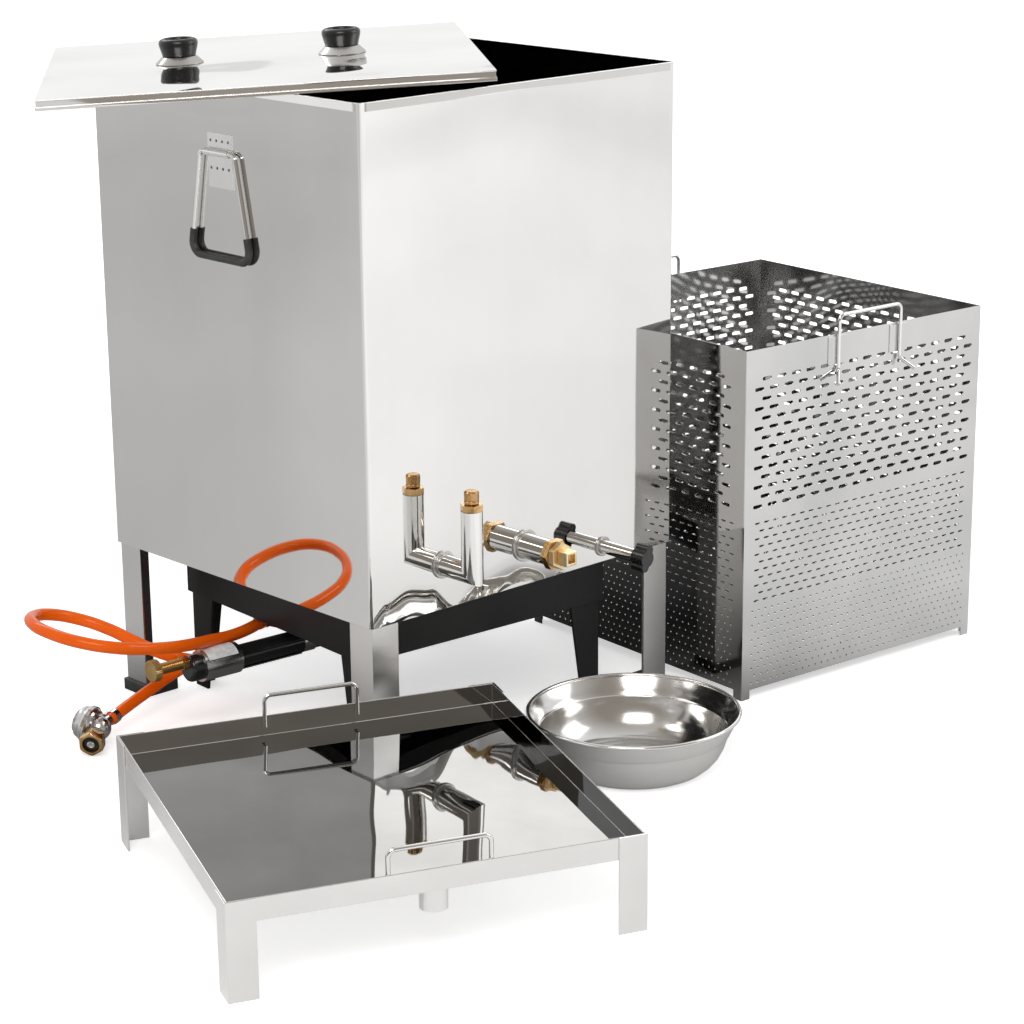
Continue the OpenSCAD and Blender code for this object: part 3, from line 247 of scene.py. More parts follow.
class MelterBurner(bpy.types.PropertyGroup):
    """Sizes of the valve, hose and regulator"""

    tube_height: size("Height of the mixing tube's axis", 100)
    valve_up: size("Height of the valve over the tube's axis", 9)
    stem_end: size("Distance of the stem's end from the stand's middle", 358)
    valve_knob: size("Diameter of the valve's knob", 27)
    valve_knob_thick: size("Thickness of the valve's knob", 9)
    spindle: size("Diameter of the valve's spindle", 6)
    spindle_in: size("Length of the spindle in the stem", 8)
    sleeve: size("Diameter of the steel sleeve", 39)
    patch: size("Length of the bare patch on the sleeve", 42)
    patch_from: size("Distance of the patch from the stand's middle", 251)
    hose: size("Diameter of the gas hose", 15)
    hose_length: size("Length of the gas hose", 1066)
    arm: size("Length of the regulator's hose arm", 16)
    core: size("Diameter of the regulator's core", 30)
    neck: size("Length of the regulator's neck", 31)
    neck_width: size("Diameter of the regulator's neck", 17)
    neck_head: size("Diameter of the neck's head", 20)
    union: size("Diameter of the union nut over its corners", 32)
    union_length: size("Length of the union nut", 17)
    bonnet: size("Diameter of the regulator's bonnet", 47)


class MelterColours(bpy.types.PropertyGroup):
    """Colours of the finishes"""

    steel: colour("Light tone of the polished sheet", 0.80, 0.79, 0.775)
    steel_shade: colour("Darker clouds of the polished sheet", 0.735, 0.728, 0.715)
    # On the front right leg this lighter tone is painted light
    bright_steel: colour("Tone of the lid, the handles' straps and the satin leg", 0.90, 0.895, 0.885)
    # Painted shade: the tray's floor and its inner right wall take a darker copy of the tray's steel
    shaded_tray_floor: colour("Tone of the tray's mirror floor", 0.3, 0.3, 0.298)
    tray_shade: colour("Darker clouds of the tray's floor", 0.21, 0.21, 0.208)
    basket_steel: colour("Tone of the basket's sheet outside", 0.55, 0.55, 0.55)
    # Painted shade: dark tone of the basket's sheet inside and of its floor, for the shade in the basket
    shaded_basket_inside: colour("Tone of the basket's sheet inside", 0.24, 0.235, 0.23)
    basket_shade: colour("Tone of the basket's left panel, in the shade of the tank", 0.46, 0.46, 0.46)
    bowl_side: colour("Tone of the bowl's brushed outside", 0.7, 0.697, 0.68)
    leg_steel: colour("Tone of legs, tray walls and sleeve", 0.68, 0.672, 0.66)
    weld_steel: colour("Tone of the weld rings and spot welds", 0.40, 0.385, 0.37)
    brass: colour("Bright brass of collars and union nut", 0.74, 0.50, 0.25)
    brass_shade: colour("Tarnish in the brass", 0.46, 0.27, 0.10)
    plug_brass: colour("Brown brass of the filler's plug", 0.52, 0.30, 0.14)
    stem_brass: colour("Brass of the valve's stem", 0.56, 0.34, 0.10)
    valve_brass: colour("Old brass of the valve's knob", 0.46, 0.36, 0.16)
    brass_pale: colour("Raw cast face of the outlet plug", 0.88, 0.74, 0.47)
    paint: colour("Paint of the burner stand", 0.012, 0.012, 0.013)
    rubber: colour("Rubber of feet and grips", 0.010, 0.010, 0.011)
    bakelite: colour("Moulded lid knobs", 0.006, 0.006, 0.007)
    hose: colour("Rubber of the gas hose", 0.94, 0.13, 0.004)
    zinc: colour("Regulator's casting", 0.55, 0.55, 0.56)
    floor: colour("Pale studio floor", 0.86, 0.86, 0.86)
    room: colour("Dim room behind the camera, as the steel mirrors it", 0.33, 0.3, 0.265)


class MelterStage(bpy.types.PropertyGroup):
    """Studio light and the camera of the photograph"""

    azimuth: number("Camera's turn about the vertical, in degrees", -43.1034)
    elevation: number("Camera's angle over the floor, in degrees", 16.7836)
    roll: number("Camera's turn about its own axis, in degrees", -0.5602)
    distance: size("Camera's distance from the point it looks at", 3478.8)
    aim: bpy.props.FloatVectorProperty(
        description="Point that the camera looks at, from the tank's middle",
        default=(85.76 * MM, -116.16 * MM, 213.31 * MM), subtype="TRANSLATION")
    lens: number("Focal length in millimetres", 96.77)
    shift_x: number("Lens shift across", 0.0077)
    shift_y: number("Lens shift up", 0.0234)
    key_power: number("Power of the large soft lamp, in watts", 76, min=0)
    fill_power: number("Power of the side lamp, in watts", 32, min=0)
    back_power: number("Power of the rear lamp, in watts", 30, min=0)
    sky: number("Strength of the even light from all round", 0.5, min=0)


# Modelling helpers

# Merging distances of a made mesh and of a solid's copy, and the largest angle in degrees of a flat face
MERGE = 0.00001
SOLID_MERGE = 0.000002
FLAT_ANGLE = 0.4


def deselect():
    if bpy.context.object and bpy.context.object.mode != "OBJECT":
        bpy.ops.object.mode_set(mode="OBJECT")
    bpy.ops.object.select_all(action="DESELECT")


def take(piece):
    """Makes one piece the only selected and active one."""
    deselect()
    piece.select_set(True)
    bpy.context.view_layer.objects.active = piece


def edit(piece):
    """Opens a piece in edit mode with all of it selected."""
    take(piece)
    bpy.ops.object.mode_set(mode="EDIT")
    bpy.ops.mesh.select_all(action="SELECT")


def close(piece):
    """Leaves edit mode with doubles merged and faces pointing outwards."""
    bpy.ops.mesh.select_all(action="SELECT")
    bpy.ops.mesh.remove_doubles(threshold=MERGE)
    bpy.ops.mesh.normals_make_consistent(inside=False)
    bpy.ops.object.mode_set(mode="OBJECT")
    return piece


def shaped(piece, kind, **values):
    """Adds a modifier with its values and applies it."""
    take(piece)
    modifier = piece.modifiers.new(kind.title(), kind)
    for key, value in values.items():
        setattr(modifier, key, value)
    bpy.ops.object.modifier_apply(modifier=modifier.name)
    return piece


def rounded(piece, width, segments=2, angle=28):
    """Eases the sharp edges and keeps flat faces flat in their shading."""
    shaped(
        piece, "BEVEL", width=width, segments=segments, limit_method="ANGLE",
        angle_limit=math.radians(angle), use_clamp_overlap=True)
    return smooth(piece)


def shaded(piece, angle=40):
    """Smooth shading up to an angle in degrees."""
    take(piece)
    bpy.ops.object.shade_smooth_by_angle(angle=math.radians(angle))
    return piece


def smooth(piece, angle=40):
    """Smooth shading that keeps large faces flat."""
    shaded(piece, angle)
    return shaped(piece, "WEIGHTED_NORMAL", keep_sharp=True, weight=60)


def applied():
    """Applies the active piece's place, turn and scale to its mesh."""
    bpy.ops.object.transform_apply(location=True, rotation=True, scale=True)
    return bpy.context.object


def placed(piece, matrix):
    """Puts a piece at its place and applies the place to its mesh."""
    take(piece)
    piece.matrix_world = matrix
    return applied()


def pick(piece, test):
    """Selects, in edit mode, the vertices that pass a test on their place."""
    bpy.ops.mesh.select_all(action="DESELECT")
    bpy.ops.object.mode_set(mode="OBJECT")
    for vertex in piece.data.vertices:
        vertex.select = test(vertex.co)
    bpy.ops.object.mode_set(mode="EDIT")


def joined(pieces):
    deselect()
    for piece in pieces:
        piece.select_set(True)
    bpy.context.view_layer.objects.active = pieces[0]
    bpy.ops.object.join()
    return pieces[0]


def copied(piece, matrix):
    """A copy with its own mesh, moved by a matrix."""
    twin = piece.copy()
    twin.data = piece.data.copy()
    bpy.context.collection.objects.link(twin)
    return placed(twin, matrix)


def turned(profile, steps=64):
    """Body of revolution about z: a point extruded along the profile, then spun."""
    deselect()
    start = Vector((profile[0][0], 0, profile[0][1]))
    bpy.ops.mesh.primitive_plane_add(size=MM)
    piece = bpy.context.object
    edit(piece)
    bpy.ops.mesh.merge(type="CENTER")
    bpy.ops.mesh.select_all(action="SELECT")
    bpy.ops.transform.translate(value=start)
    for before, after in zip(profile, profile[1:]):
        step = (after[0] - before[0], 0, after[1] - before[1])
        bpy.ops.mesh.extrude_vertices_move(TRANSFORM_OT_translate={"value": step})
    bpy.ops.mesh.select_all(action="SELECT")
    bpy.ops.mesh.spin(steps=steps, angle=2 * math.pi, center=(0, 0, 0), axis=(0, 0, 1))
    return close(piece)


def prism(sides, radius, length, low):
    """Upright prism on z, standing at a height."""
    deselect()
    bpy.ops.mesh.primitive_cylinder_add(
        vertices=sides, radius=radius, depth=length, location=(0, 0, low + length / 2))
    return applied()


def block(width, depth, height, at=(0, 0, 0)):
    deselect()
    bpy.ops.mesh.primitive_cube_add(size=1, location=at)
    bpy.context.object.scale = (width, depth, height)
    return applied()


def cut(piece, cutter):
    """Cuts one solid out of another and removes the cutter."""
    shaped(piece, "BOOLEAN", operation="DIFFERENCE", solver="MANIFOLD", object=cutter)
    bpy.data.objects.remove(cutter)
    return piece


def bent(points, bends, steps=8):
    """Path with each corner rounded by its own bend radius."""
    corners = [Vector(p) for p in points]
    last = len(corners)
    path = []
    for i, corner in enumerate(corners):
        radius = bends[i]
        if radius == 0:
            path.append(corner)
            continue
        before = (corner - corners[i - 1]).normalized()
        after = (corners[(i + 1) % last] - corner).normalized()
        turn = before.angle(after)
        inward = (after - before * math.cos(turn)).normalized()
        centre = corner - before * radius * math.tan(turn / 2) + inward * radius
        for k in range(steps + 1):
            a = turn * k / steps
            path.append(centre - inward * radius * math.cos(a) + before * radius * math.sin(a))
    return path


def round_curve(name, diameter, resolution):
    """Empty curve with a round section and closed ends."""
    data = bpy.data.curves.new(name, "CURVE")
    data.dimensions = "3D"
    data.bevel_depth = diameter / 2
    data.bevel_resolution = resolution
    data.use_fill_caps = True
    piece = bpy.data.objects.new(name, data)
    bpy.context.collection.objects.link(piece)
    return piece


def wire(path, diameter, closed=False):
    """Round rod along a path, made from a curve and turned into a mesh."""
    piece = round_curve("rod", diameter, 4)
    line = piece.data.splines.new("POLY")
    line.points.add(len(path) - 1)
    line.use_cyclic_u = closed
    for point, at in zip(line.points, path):
        point.co = (*at, 1)
    take(piece)
    bpy.ops.object.convert(target="MESH")
    edit(piece)
    return shaded(close(piece))


def worn(finish):
    """Material of a finish, whose name stands apart from the frame's own materials."""
    return bpy.data.materials["finish_" + finish]


def settled(piece, name, body, slot, finish, *nodes):
    """Names a finished piece, gives it its finish and body, and hides the nodes it stands for."""
    piece.name = piece.data.name = name
    piece.data.materials.clear()
    piece.data.materials.append(worn(finish))
    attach(piece, body)
    if nodes:
        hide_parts(*nodes)
    return piece


def eased(node, slot, finish, width, segments=2, reshape=None):
    """Copy of a solid with merged faces, reshaped if asked, and edges eased by a width in millimetres."""
    piece = bpy.data.objects.new(node, frame["nodes"][node].data.copy())
    bpy.context.collection.objects.link(piece)
    edit(piece)
    bpy.ops.mesh.customdata_custom_splitnormals_clear()
    bpy.ops.mesh.remove_doubles(threshold=SOLID_MERGE)
    bpy.ops.mesh.dissolve_limited(angle_limit=math.radians(FLAT_ANGLE))
    if reshape:
        reshape(piece)
    bpy.ops.object.mode_set(mode="OBJECT")
    rounded(piece, width * MM, segments)
    return settled(piece, node + "_piece", BODY_OF[node], slot, finish, node)


def painted(node, finish):
    """Gives a solid that stays as it is its finish."""
    piece = frame["nodes"][node]
    piece.data.materials.clear()
    piece.data.materials.append(worn(finish))


# Finishes

def shader_group(name, inputs, outputs):
    group = bpy.data.node_groups.new(name, "ShaderNodeTree")
    for kind, label, value in inputs:
        socket = group.interface.new_socket(name=label, in_out="INPUT", socket_type=kind)
        socket.default_value = value
    for label in outputs:
        group.interface.new_socket(name=label, in_out="OUTPUT", socket_type="NodeSocketFloat")
    return group, group.nodes.new("NodeGroupInput"), group.nodes.new("NodeGroupOutput")


def made(tree, kind, inputs, **settings):
    """New node with its settings, and each input linked to a socket or set to a value."""
    node = tree.nodes.new(kind)
    for key, value in settings.items():
        setattr(node, key, value)
    for key, value in inputs.items():
        if isinstance(value, bpy.types.NodeSocket):
            tree.links.new(value, node.inputs[key])
        else:
            node.inputs[key].default_value = value
    return node


def noise(tree, vector, scale, detail, distortion=0.0):
    inputs = {"Vector": vector, "Scale": scale, "Detail": detail, "Distortion": distortion}
    return made(tree, "ShaderNodeTexNoise", inputs).outputs["Fac"]


def spread(tree, value, low, high, to_low, to_high):
    """Maps a range of values to another."""
    inputs = {"Value": value, "From Min": low, "From Max": high, "To Min": to_low, "To Max": to_high}
    return made(tree, "ShaderNodeMapRange", inputs).outputs["Result"]


def own_place(tree):
    """Place on a piece, in its own frame."""
    return tree.nodes.new("ShaderNodeTexCoord").outputs["Object"]


def make_groups():
    """Effects that several finishes share."""
    group, entry, exit_node = shader_group(
        "rolled_sheet", [("NodeSocketVector", "Stretch", (1, 1, 1)), ("NodeSocketFloat", "Swell", 2.2)],
        ["Streak", "Cloud", "Ripple"])
    place = own_place(group)
    mapping = made(group, "ShaderNodeMapping", {"Vector": place, "Scale": entry.outputs["Stretch"]})
    streak = spread(group, noise(group, mapping.outputs["Vector"], 1, 4), 0.3, 0.7, 0, 1)
    cloud = spread(group, noise(group, place, 4.5, 3, 0.8), 0.35, 0.65, 0, 1)
    ripple = noise(group, place, entry.outputs["Swell"], 1)
    for label, socket in (("Streak", streak), ("Cloud", cloud), ("Ripple", ripple)):
        group.links.new(socket, exit_node.inputs[label])

    group, entry, exit_node = shader_group(
        "handled_surface", [("NodeSocketFloat", "Coarse", 30), ("NodeSocketFloat", "Fine", 900)],
        ["Patch", "Relief"])
    place = own_place(group)
    patch = spread(group, noise(group, place, entry.outputs["Coarse"], 4), 0.35, 0.68, 0, 1)
    relief = noise(group, place, entry.outputs["Fine"], 3)
    for label, socket in (("Patch", patch), ("Relief", relief)):
        group.links.new(socket, exit_node.inputs[label])


def fresh(name):
    """New finish, as its node tree and its shader."""
    material = bpy.data.materials.new("finish_" + name)
    material.use_nodes = True
    return material.node_tree, material.node_tree.nodes["Principled BSDF"]


def grouped(tree, name, **values):
    return made(tree, "ShaderNodeGroup", values, node_tree=bpy.data.node_groups[name]).outputs


def mixed(tree, factor, first, second):
    """Mix of two colours by a varying factor, of which the first may vary too."""
    start = first if isinstance(first, bpy.types.NodeSocket) else (*first, 1)
    return made(tree, "ShaderNodeMix", {0: factor, 6: start, 7: (*second, 1)}, data_type="RGBA").outputs[2]


def bumped(tree, shader, height, distance):
    bump = made(tree, "ShaderNodeBump", {"Height": height, "Distance": distance, "Strength": 1})
    tree.links.new(bump.outputs["Normal"], shader.inputs["Normal"])


def math_node(tree, operation, *inputs):
    return made(tree, "ShaderNodeMath", dict(enumerate(inputs)), operation=operation).outputs[0]


def scaled_sum(tree, first, second, weight):
    """first plus weight times second."""
    return math_node(tree, "MULTIPLY_ADD", second, weight, first)


def vector_node(tree, operation, *inputs):
    return made(tree, "ShaderNodeVectorMath", dict(enumerate(inputs)), operation=operation).outputs["Value"]


def reach(tree, vector, point):
    """Distance of a place from a point."""
    return vector_node(tree, "DISTANCE", vector, point)


def toward(tree, vector, direction):
    """How far a vector points along a direction."""
    return vector_node(tree, "DOT_PRODUCT", vector, direction)


def ramp(tree, value, stops):
    """Grey level along a value from 0 to 1, eased between its stops."""
    node = made(tree, "ShaderNodeValToRGB", {0: value})
    bar = node.color_ramp
    bar.interpolation = "EASE"
    bar.elements[0].position = stops[0][0]
    bar.elements[1].position = stops[-1][0]
    for at, _ in stops[1:-1]:
        bar.elements.new(at)
    for element, (_, level) in zip(bar.elements, stops):
        element.color = (level, level, level, 1)
    return node.outputs[0]


def steel(name, light, shade, rough, stretch=(9, 9, 9), ripple=0.003, swell=2.2, dents=0.0):
    """Rolled sheet: soft clouds and wide streaks in tone and polish, and a slow waviness."""
    tree, shader = fresh(name)
    sheet = grouped(tree, "rolled_sheet", Stretch=stretch, Swell=swell)
    tone = scaled_sum(tree, spread(tree, sheet["Cloud"], 0, 1, 0.1, 0.6), sheet["Streak"], 0.4)
    tree.links.new(mixed(tree, tone, shade, light), shader.inputs["Base Color"])
    tree.links.new(spread(tree, sheet["Streak"], 0, 1, rough[1], rough[0]), shader.inputs["Roughness"])
    shader.inputs["Metallic"].default_value = 1
    height = sheet["Ripple"]
    if dents:
        height = scaled_sum(tree, height, dented(tree), -dents)
    bumped(tree, shader, height, ripple)


# Height of the highest dent, its fade upwards, and the dents' rise across the tank's front, as places and levels
DENT_HEIGHT = 45 * MM
DENT_FADE = 40 * MM
DENT_RISE = (
    (0, 0.3), (0.05, 0.7), (0.12, 0.95), (0.19, 0.8), (0.26, 0.1), (0.34, 0.75), (0.46, 1), (0.58, 0.7), (0.68, 0))


def dented(tree):
    """Dents along the lower edge of the tank's front, where the sheet curls in."""
    low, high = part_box("tank_shell")
    apart = made(tree, "ShaderNodeSeparateXYZ", {0: own_place(tree)})
    across = spread(tree, apart.outputs["X"], low.x, high.x, 0, 1)
    rise = ramp(tree, across, DENT_RISE)
    front = spread(tree, apart.outputs["Y"], low.y + 5 * MM, low.y + 6 * MM, DENT_HEIGHT, 0)
    over = spread(tree, apart.outputs["Z"], low.z, low.z + 0.1, 0, 0.1)
    depth = math_node(tree, "SUBTRACT", math_node(tree, "MULTIPLY", rise, front), over)
    return math_node(tree, "POWER", spread(tree, depth, 0, DENT_FADE, 0, 1), 2)


def coating(name, base, dust, rough, coarse, fine, relief, coat=0.0, metallic=0.0, gloss=0.5):
    """Paint, rubber, moulding or casting: an even base with rubbed or tarnished patches and fine relief."""
    tree, shader = fresh(name)
    surface = grouped(tree, "handled_surface", Coarse=coarse, Fine=fine)
    tree.links.new(mixed(tree, surface["Patch"], base, dust), shader.inputs["Base Color"])
    tree.links.new(spread(tree, surface["Patch"], 0, 1, *rough), shader.inputs["Roughness"])
    levels = {"Metallic": metallic, "Specular IOR Level": gloss, "Coat Weight": coat, "Coat Roughness": 0.08}
    for label, level in levels.items():
        shader.inputs[label].default_value = level
    bumped(tree, shader, surface["Relief"], relief)


# Greys of rubbed patches, and the stretch of streaks that run upright
GREY = (0.05, 0.05, 0.05)
DIM_GREY = (0.024, 0.024, 0.024)
PAPER_GREY = (0.62, 0.62, 0.62)
UPRIGHT = (11, 11, 0.7)


class MELTER_OT_finishes(bpy.types.Operator):
    """Makes the finishes that the pieces take"""

    bl_idname = "melter.finishes"
    bl_label = "Finishes"

    def execute(self, context):
        c = context.scene.melter_colours
        make_groups()
        steel("tank_steel", c.steel, c.steel_shade, (0.022, 0.045), UPRIGHT, ripple=0.008, dents=0.95)
        steel("lid_steel", c.bright_steel, c.steel, (0.02, 0.04), ripple=0.034, swell=3)
        # Painted shade: darker copy of the tray's steel for its floor and inner right wall
        steel("tray_floor_steel", c.shaded_tray_floor, c.tray_shade, (0.012, 0.03), ripple=0.005, swell=4)
        steel("tray_steel", c.leg_steel, c.steel, (0.05, 0.09), ripple=0.002, swell=4)
        steel("basket_steel", c.basket_steel, c.leg_steel, (0.06, 0.11), ripple=0.016, swell=4)
        # Painted shade inside the basket, on the panels' inner faces and on the floor
        steel("basket_inside_steel", c.shaded_basket_inside, c.shaded_basket_inside, (0.06, 0.1), ripple=0.004, swell=5)
        steel("basket_shade_steel", c.basket_shade, c.weld_steel, (0.06, 0.11), ripple=0.016, swell=4)
        steel("leg_steel", c.leg_steel, c.steel, (0.16, 0.26), UPRIGHT, ripple=0.0015, swell=6)
        # Painted light: the front right leg takes a lighter tone than the other legs, besides its rougher satin
        # polish
        steel("leg_satin", c.bright_steel, c.steel, (0.4, 0.5), UPRIGHT, ripple=0.0015, swell=6)
        steel("strap_steel", c.bright_steel, c.steel, (0.2, 0.3), ripple=0.0006, swell=25)
        steel("pipe_steel", c.steel, c.steel_shade, (0.03, 0.07), ripple=0.0003, swell=20)
        steel("rod_steel", c.steel, c.steel_shade, (0.05, 0.1), ripple=0.0002, swell=40)
        steel("cone_steel", c.weld_steel, c.leg_steel, (0.2, 0.3), ripple=0.0002, swell=40)
        steel("bowl_steel", c.leg_steel, c.steel_shade, (0.12, 0.2), ripple=0.001, swell=9)
        steel("bowl_satin", c.bowl_side, c.leg_steel, (0.28, 0.38), ripple=0.0003, swell=300)
        steel("weld_steel", c.weld_steel, c.leg_steel, (0.25, 0.4), ripple=0.0006, swell=220)
        steel("dimple_steel", GREY, c.weld_steel, (0.3, 0.5), ripple=0.0002, swell=300)
        for name, bright, shade, rough in (
                ("brass", c.brass, c.brass_shade, (0.12, 0.26)),
                ("plug_brass", c.plug_brass, c.brass_shade, (0.16, 0.3)),
                ("stem_brass", c.stem_brass, c.brass_shade, (0.2, 0.35)),
                ("valve_brass", c.valve_brass, c.brass_shade, (0.3, 0.45)),
                ("pale_brass", c.brass_pale, c.brass, (0.3, 0.45))):
            coating(name, bright, shade, rough, 60, 1400, 0.00012, metallic=1.0)
        coating("black_paint", c.paint, DIM_GREY, (0.34, 0.5), 9, 700, 0.00004, gloss=0.25)
        coating("gloss_black", c.paint, c.paint, (0.1, 0.2), 20, 500, 0.00002)
        coating("cast_iron", c.paint, GREY, (0.45, 0.7), 40, 500, 0.0002)
        coating("black_rubber", c.rubber, GREY, (0.4, 0.6), 30, 900, 0.00005)
        coating("bakelite", c.bakelite, c.bakelite, (0.26, 0.36), 60, 600, 0.00001, coat=0.08)
        coating("black_plastic", c.bakelite, c.rubber, (0.22, 0.34), 60, 900, 0.00003, coat=0.2)
        pale = tuple(min(1, 1.1 * x) for x in c.hose)
        coating("hose_rubber", c.hose, pale, (0.12, 0.18), 18, 600, 0.00001, gloss=0.22)
        coating("cast_zinc", c.zinc, c.leg_steel, (0.16, 0.28), 70, 900, 0.00006, metallic=1.0)
        coating("patch_paper", c.floor, PAPER_GREY, (0.45, 0.6), 120, 900, 0.00002)
        return {"FINISHED"}


# Stage

def lamp(name, at, aim, width, power, tint):
    data = bpy.data.lights.new(name, "AREA")
    data.shape = "RECTANGLE"
    data.size, data.size_y = width
    data.energy = power
    data.color = tint
    light = bpy.data.objects.new(name, data)
    bpy.context.collection.objects.link(light)
    light.location = at
    light.rotation_euler = (Vector(aim) - Vector(at)).to_track_quat("-Z", "Y").to_euler()
    light.visible_camera = False


# Place, aim, widths in metres and tint of each lamp
LAMPS = {
    "key": ((-2.6, -2.2, 3.4), (0, 0, 0.4), (2.4, 1.8), (1, 0.985, 0.96)),
    "fill": ((2.9, -2.4, 2.4), (0.2, 0, 0.3), (2.0, 2.0), (1, 1, 1)),
    "back": ((0.6, 3.4, 3.2), (0, 0, 0.5), (3.0, 1.2), (1, 1, 1)),
}
SENSOR_WIDTH = 36
FAR_CLIP = 60
# Half the floor's width, and the reach from the tank's middle over which its painted shadow in the steel fades
FLOOR_HALF = 8
FOOT_REACH = (0.3, 0.62)
# Levels of the floor's glow that the steel mirrors, from its front to its left, as places and levels
FLOOR_GLOW = (
    (0, 0.67), (0.144, 0.63), (0.225, 0.5), (0.3, 0.39), (0.335, 0.37), (0.394, 0.37), (0.44, 0.36),
    (0.475, 0.22), (0.5, 0.2), (0.53, 0.04), (0.56, 0), (0.61, 0.03), (0.656, 0.07), (0.71, 0.07),
    (0.78, 0.13), (0.85, 0.2), (1, 0.26))
# Bands of the bright wall that the lid mirrors, from low to high
WALL_BANDS = (
    (0.2, 0.97), (0.34, 0.97), (0.37, 0.8), (0.44, 0.8), (0.47, 1), (0.55, 1), (0.58, 0.84), (0.68, 0.84),
    (0.72, 1))
# Directions over the floor across the photograph's view and along it, and towards the dim room
ACROSS_VIEW = (-0.68, 0.73, 0)
ALONG_VIEW = (0.73, 0.68, 0)
ROOM_WAY = (-0.64, -0.74, 0.2)


class MELTER_OT_stage(bpy.types.Operator):
    """Pale floor, soft studio light and the camera at the photograph's view"""

    bl_idname = "melter.stage"
    bl_label = "Stage"

    def execute(self, context):
        stage = context.scene.melter_stage
        self.camera(context, stage)
        self.floor(context)
        self.sky(context, stage)
        for name, (at, aim, width, tint) in LAMPS.items():
            lamp(name + "_lamp", at, aim, width, getattr(stage, name + "_power"), tint)
        context.scene.view_settings.view_transform = "Standard"
        return {"FINISHED"}

    def camera(self, context, stage):
        a, e, r = (math.radians(x) for x in (stage.azimuth, stage.elevation, stage.roll))
        back = Vector((math.sin(a) * math.cos(e), -math.cos(a) * math.cos(e), math.sin(e)))
        level = Vector((math.cos(a), math.sin(a), 0))
        up = back.cross(level)
        right = level * math.cos(r) + up * math.sin(r)
        top = up * math.cos(r) - level * math.sin(r)
        data = bpy.data.cameras.new("photo_camera")
        data.sensor_width = SENSOR_WIDTH
        data.lens = stage.lens
        data.shift_x = stage.shift_x
        data.shift_y = stage.shift_y
        data.clip_end = FAR_CLIP
        camera = bpy.data.objects.new("photo_camera", data)
        context.collection.objects.link(camera)
        turn = Matrix((right, top, back)).transposed().to_4x4()
        aim = TANK @ Vector(stage.aim)
        camera.matrix_world = moved(*(aim + back * stage.distance)) @ turn
        context.scene.camera = camera

    def floor(self, context):
        deselect()
        bpy.ops.mesh.primitive_plane_add(size=2 * FLOOR_HALF)
        floor = context.object
        floor.name = "studio_floor"
        material = bpy.data.materials.new("floor_paper")
        material.use_nodes = True
        tree = material.node_tree
        tree.nodes.clear()
        path = tree.nodes.new("ShaderNodeLightPath").outputs
        place = own_place(tree)
        seen = math_node(tree, "MAXIMUM", path["Is Glossy Ray"], path["Is Transmission Ray"])
        foot = reach(tree, place, TANK.translation)
        # Painted shadow: the paper that the steel mirrors is darkened, most at the tank's foot
        mirrored_floor_shade = math_node(tree, "MULTIPLY", seen, spread(tree, foot, *FOOT_REACH, 0.85, 0.22))
        tone = mixed(tree, mirrored_floor_shade, context.scene.melter_colours.floor, (0, 0, 0))
        paper = made(tree, "ShaderNodeBsdfDiffuse", {"Color": tone})
        mirrored = math_node(tree, "MULTIPLY", seen, self.glow(tree, place, foot))
        bright = spread(tree, reach(tree, place, (0, 0, 0)), 0.9, 2.6, 0.56, 1)
        bright = math_node(tree, "MULTIPLY", bright, path["Is Camera Ray"])
        strength = math_node(tree, "ADD", mirrored, bright)
        glow = made(tree, "ShaderNodeEmission", {"Strength": strength})
        both = made(tree, "ShaderNodeAddShader", {0: paper.outputs[0], 1: glow.outputs[0]})
        made(tree, "ShaderNodeOutputMaterial", {"Surface": both.outputs[0]})
        floor.data.materials.append(material)

    def glow(self, tree, place, foot):
        """Level of the floor's glow as the steel mirrors it, with painted shade at the tank's foot and beside the
        basket.
        """
        across = spread(tree, toward(tree, place, ACROSS_VIEW), -FLOOR_HALF, FLOOR_HALF, 0, 1)
        near = spread(tree, toward(tree, place, ALONG_VIEW), -0.5, 0.1, 0.2, 0)
        level = math_node(tree, "ADD", ramp(tree, across, FLOOR_GLOW), near)
        patchy = spread(tree, noise(tree, place, 0.9, 1, 1.2), 0.35, 0.65, 0.95, 1.04)
        gap_shade = spread(tree, reach(tree, place, self.gap()), 0.16, 0.42, 0, 1)
        for mask in (patchy, spread(tree, foot, *FOOT_REACH, 0.08, 1), gap_shade):
            level = math_node(tree, "MULTIPLY", level, mask)
        return level

    def gap(self):
        """Middle of the gap between the tank and the basket, where painted shade darkens the floor's glow."""
        return ((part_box("tank_shell")[1].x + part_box("basket_left")[0].x) / 2, middle("basket_left").y, 0)

    def sky(self, context, stage):
        world = bpy.data.worlds.new("studio")
        context.scene.world = world
        world.use_nodes = True
        tree = world.node_tree
        tree.nodes.clear()
        path = tree.nodes.new("ShaderNodeLightPath").outputs
        way = tree.nodes.new("ShaderNodeTexCoord").outputs["Generated"]
        room = spread(tree, toward(tree, way, ROOM_WAY), -0.1, 0.75, 0, 1)
        wall = ramp(tree, spread(tree, toward(tree, way, (0, 0, 1)), 0, 0.6, 0, 1), WALL_BANDS)
        around = mixed(tree, room, wall, context.scene.melter_colours.room)
        mirrored = made(tree, "ShaderNodeBackground", {"Color": around})
        white = (1, 1, 1, 1)
        even = made(tree, "ShaderNodeBackground", {"Color": white, "Strength": stage.sky})
        paper = made(tree, "ShaderNodeBackground", {"Color": white})
        seen = math_node(tree, "MAXIMUM", path["Is Glossy Ray"], path["Is Transmission Ray"])
        lit = made(tree, "ShaderNodeMixShader", {0: seen, 1: even.outputs[0], 2: mirrored.outputs[0]})
        shown = {0: path["Is Camera Ray"], 1: lit.outputs[0], 2: paper.outputs[0]}
        both = made(tree, "ShaderNodeMixShader", shown)
        made(tree, "ShaderNodeOutputWorld", {"Surface": both.outputs[0]})


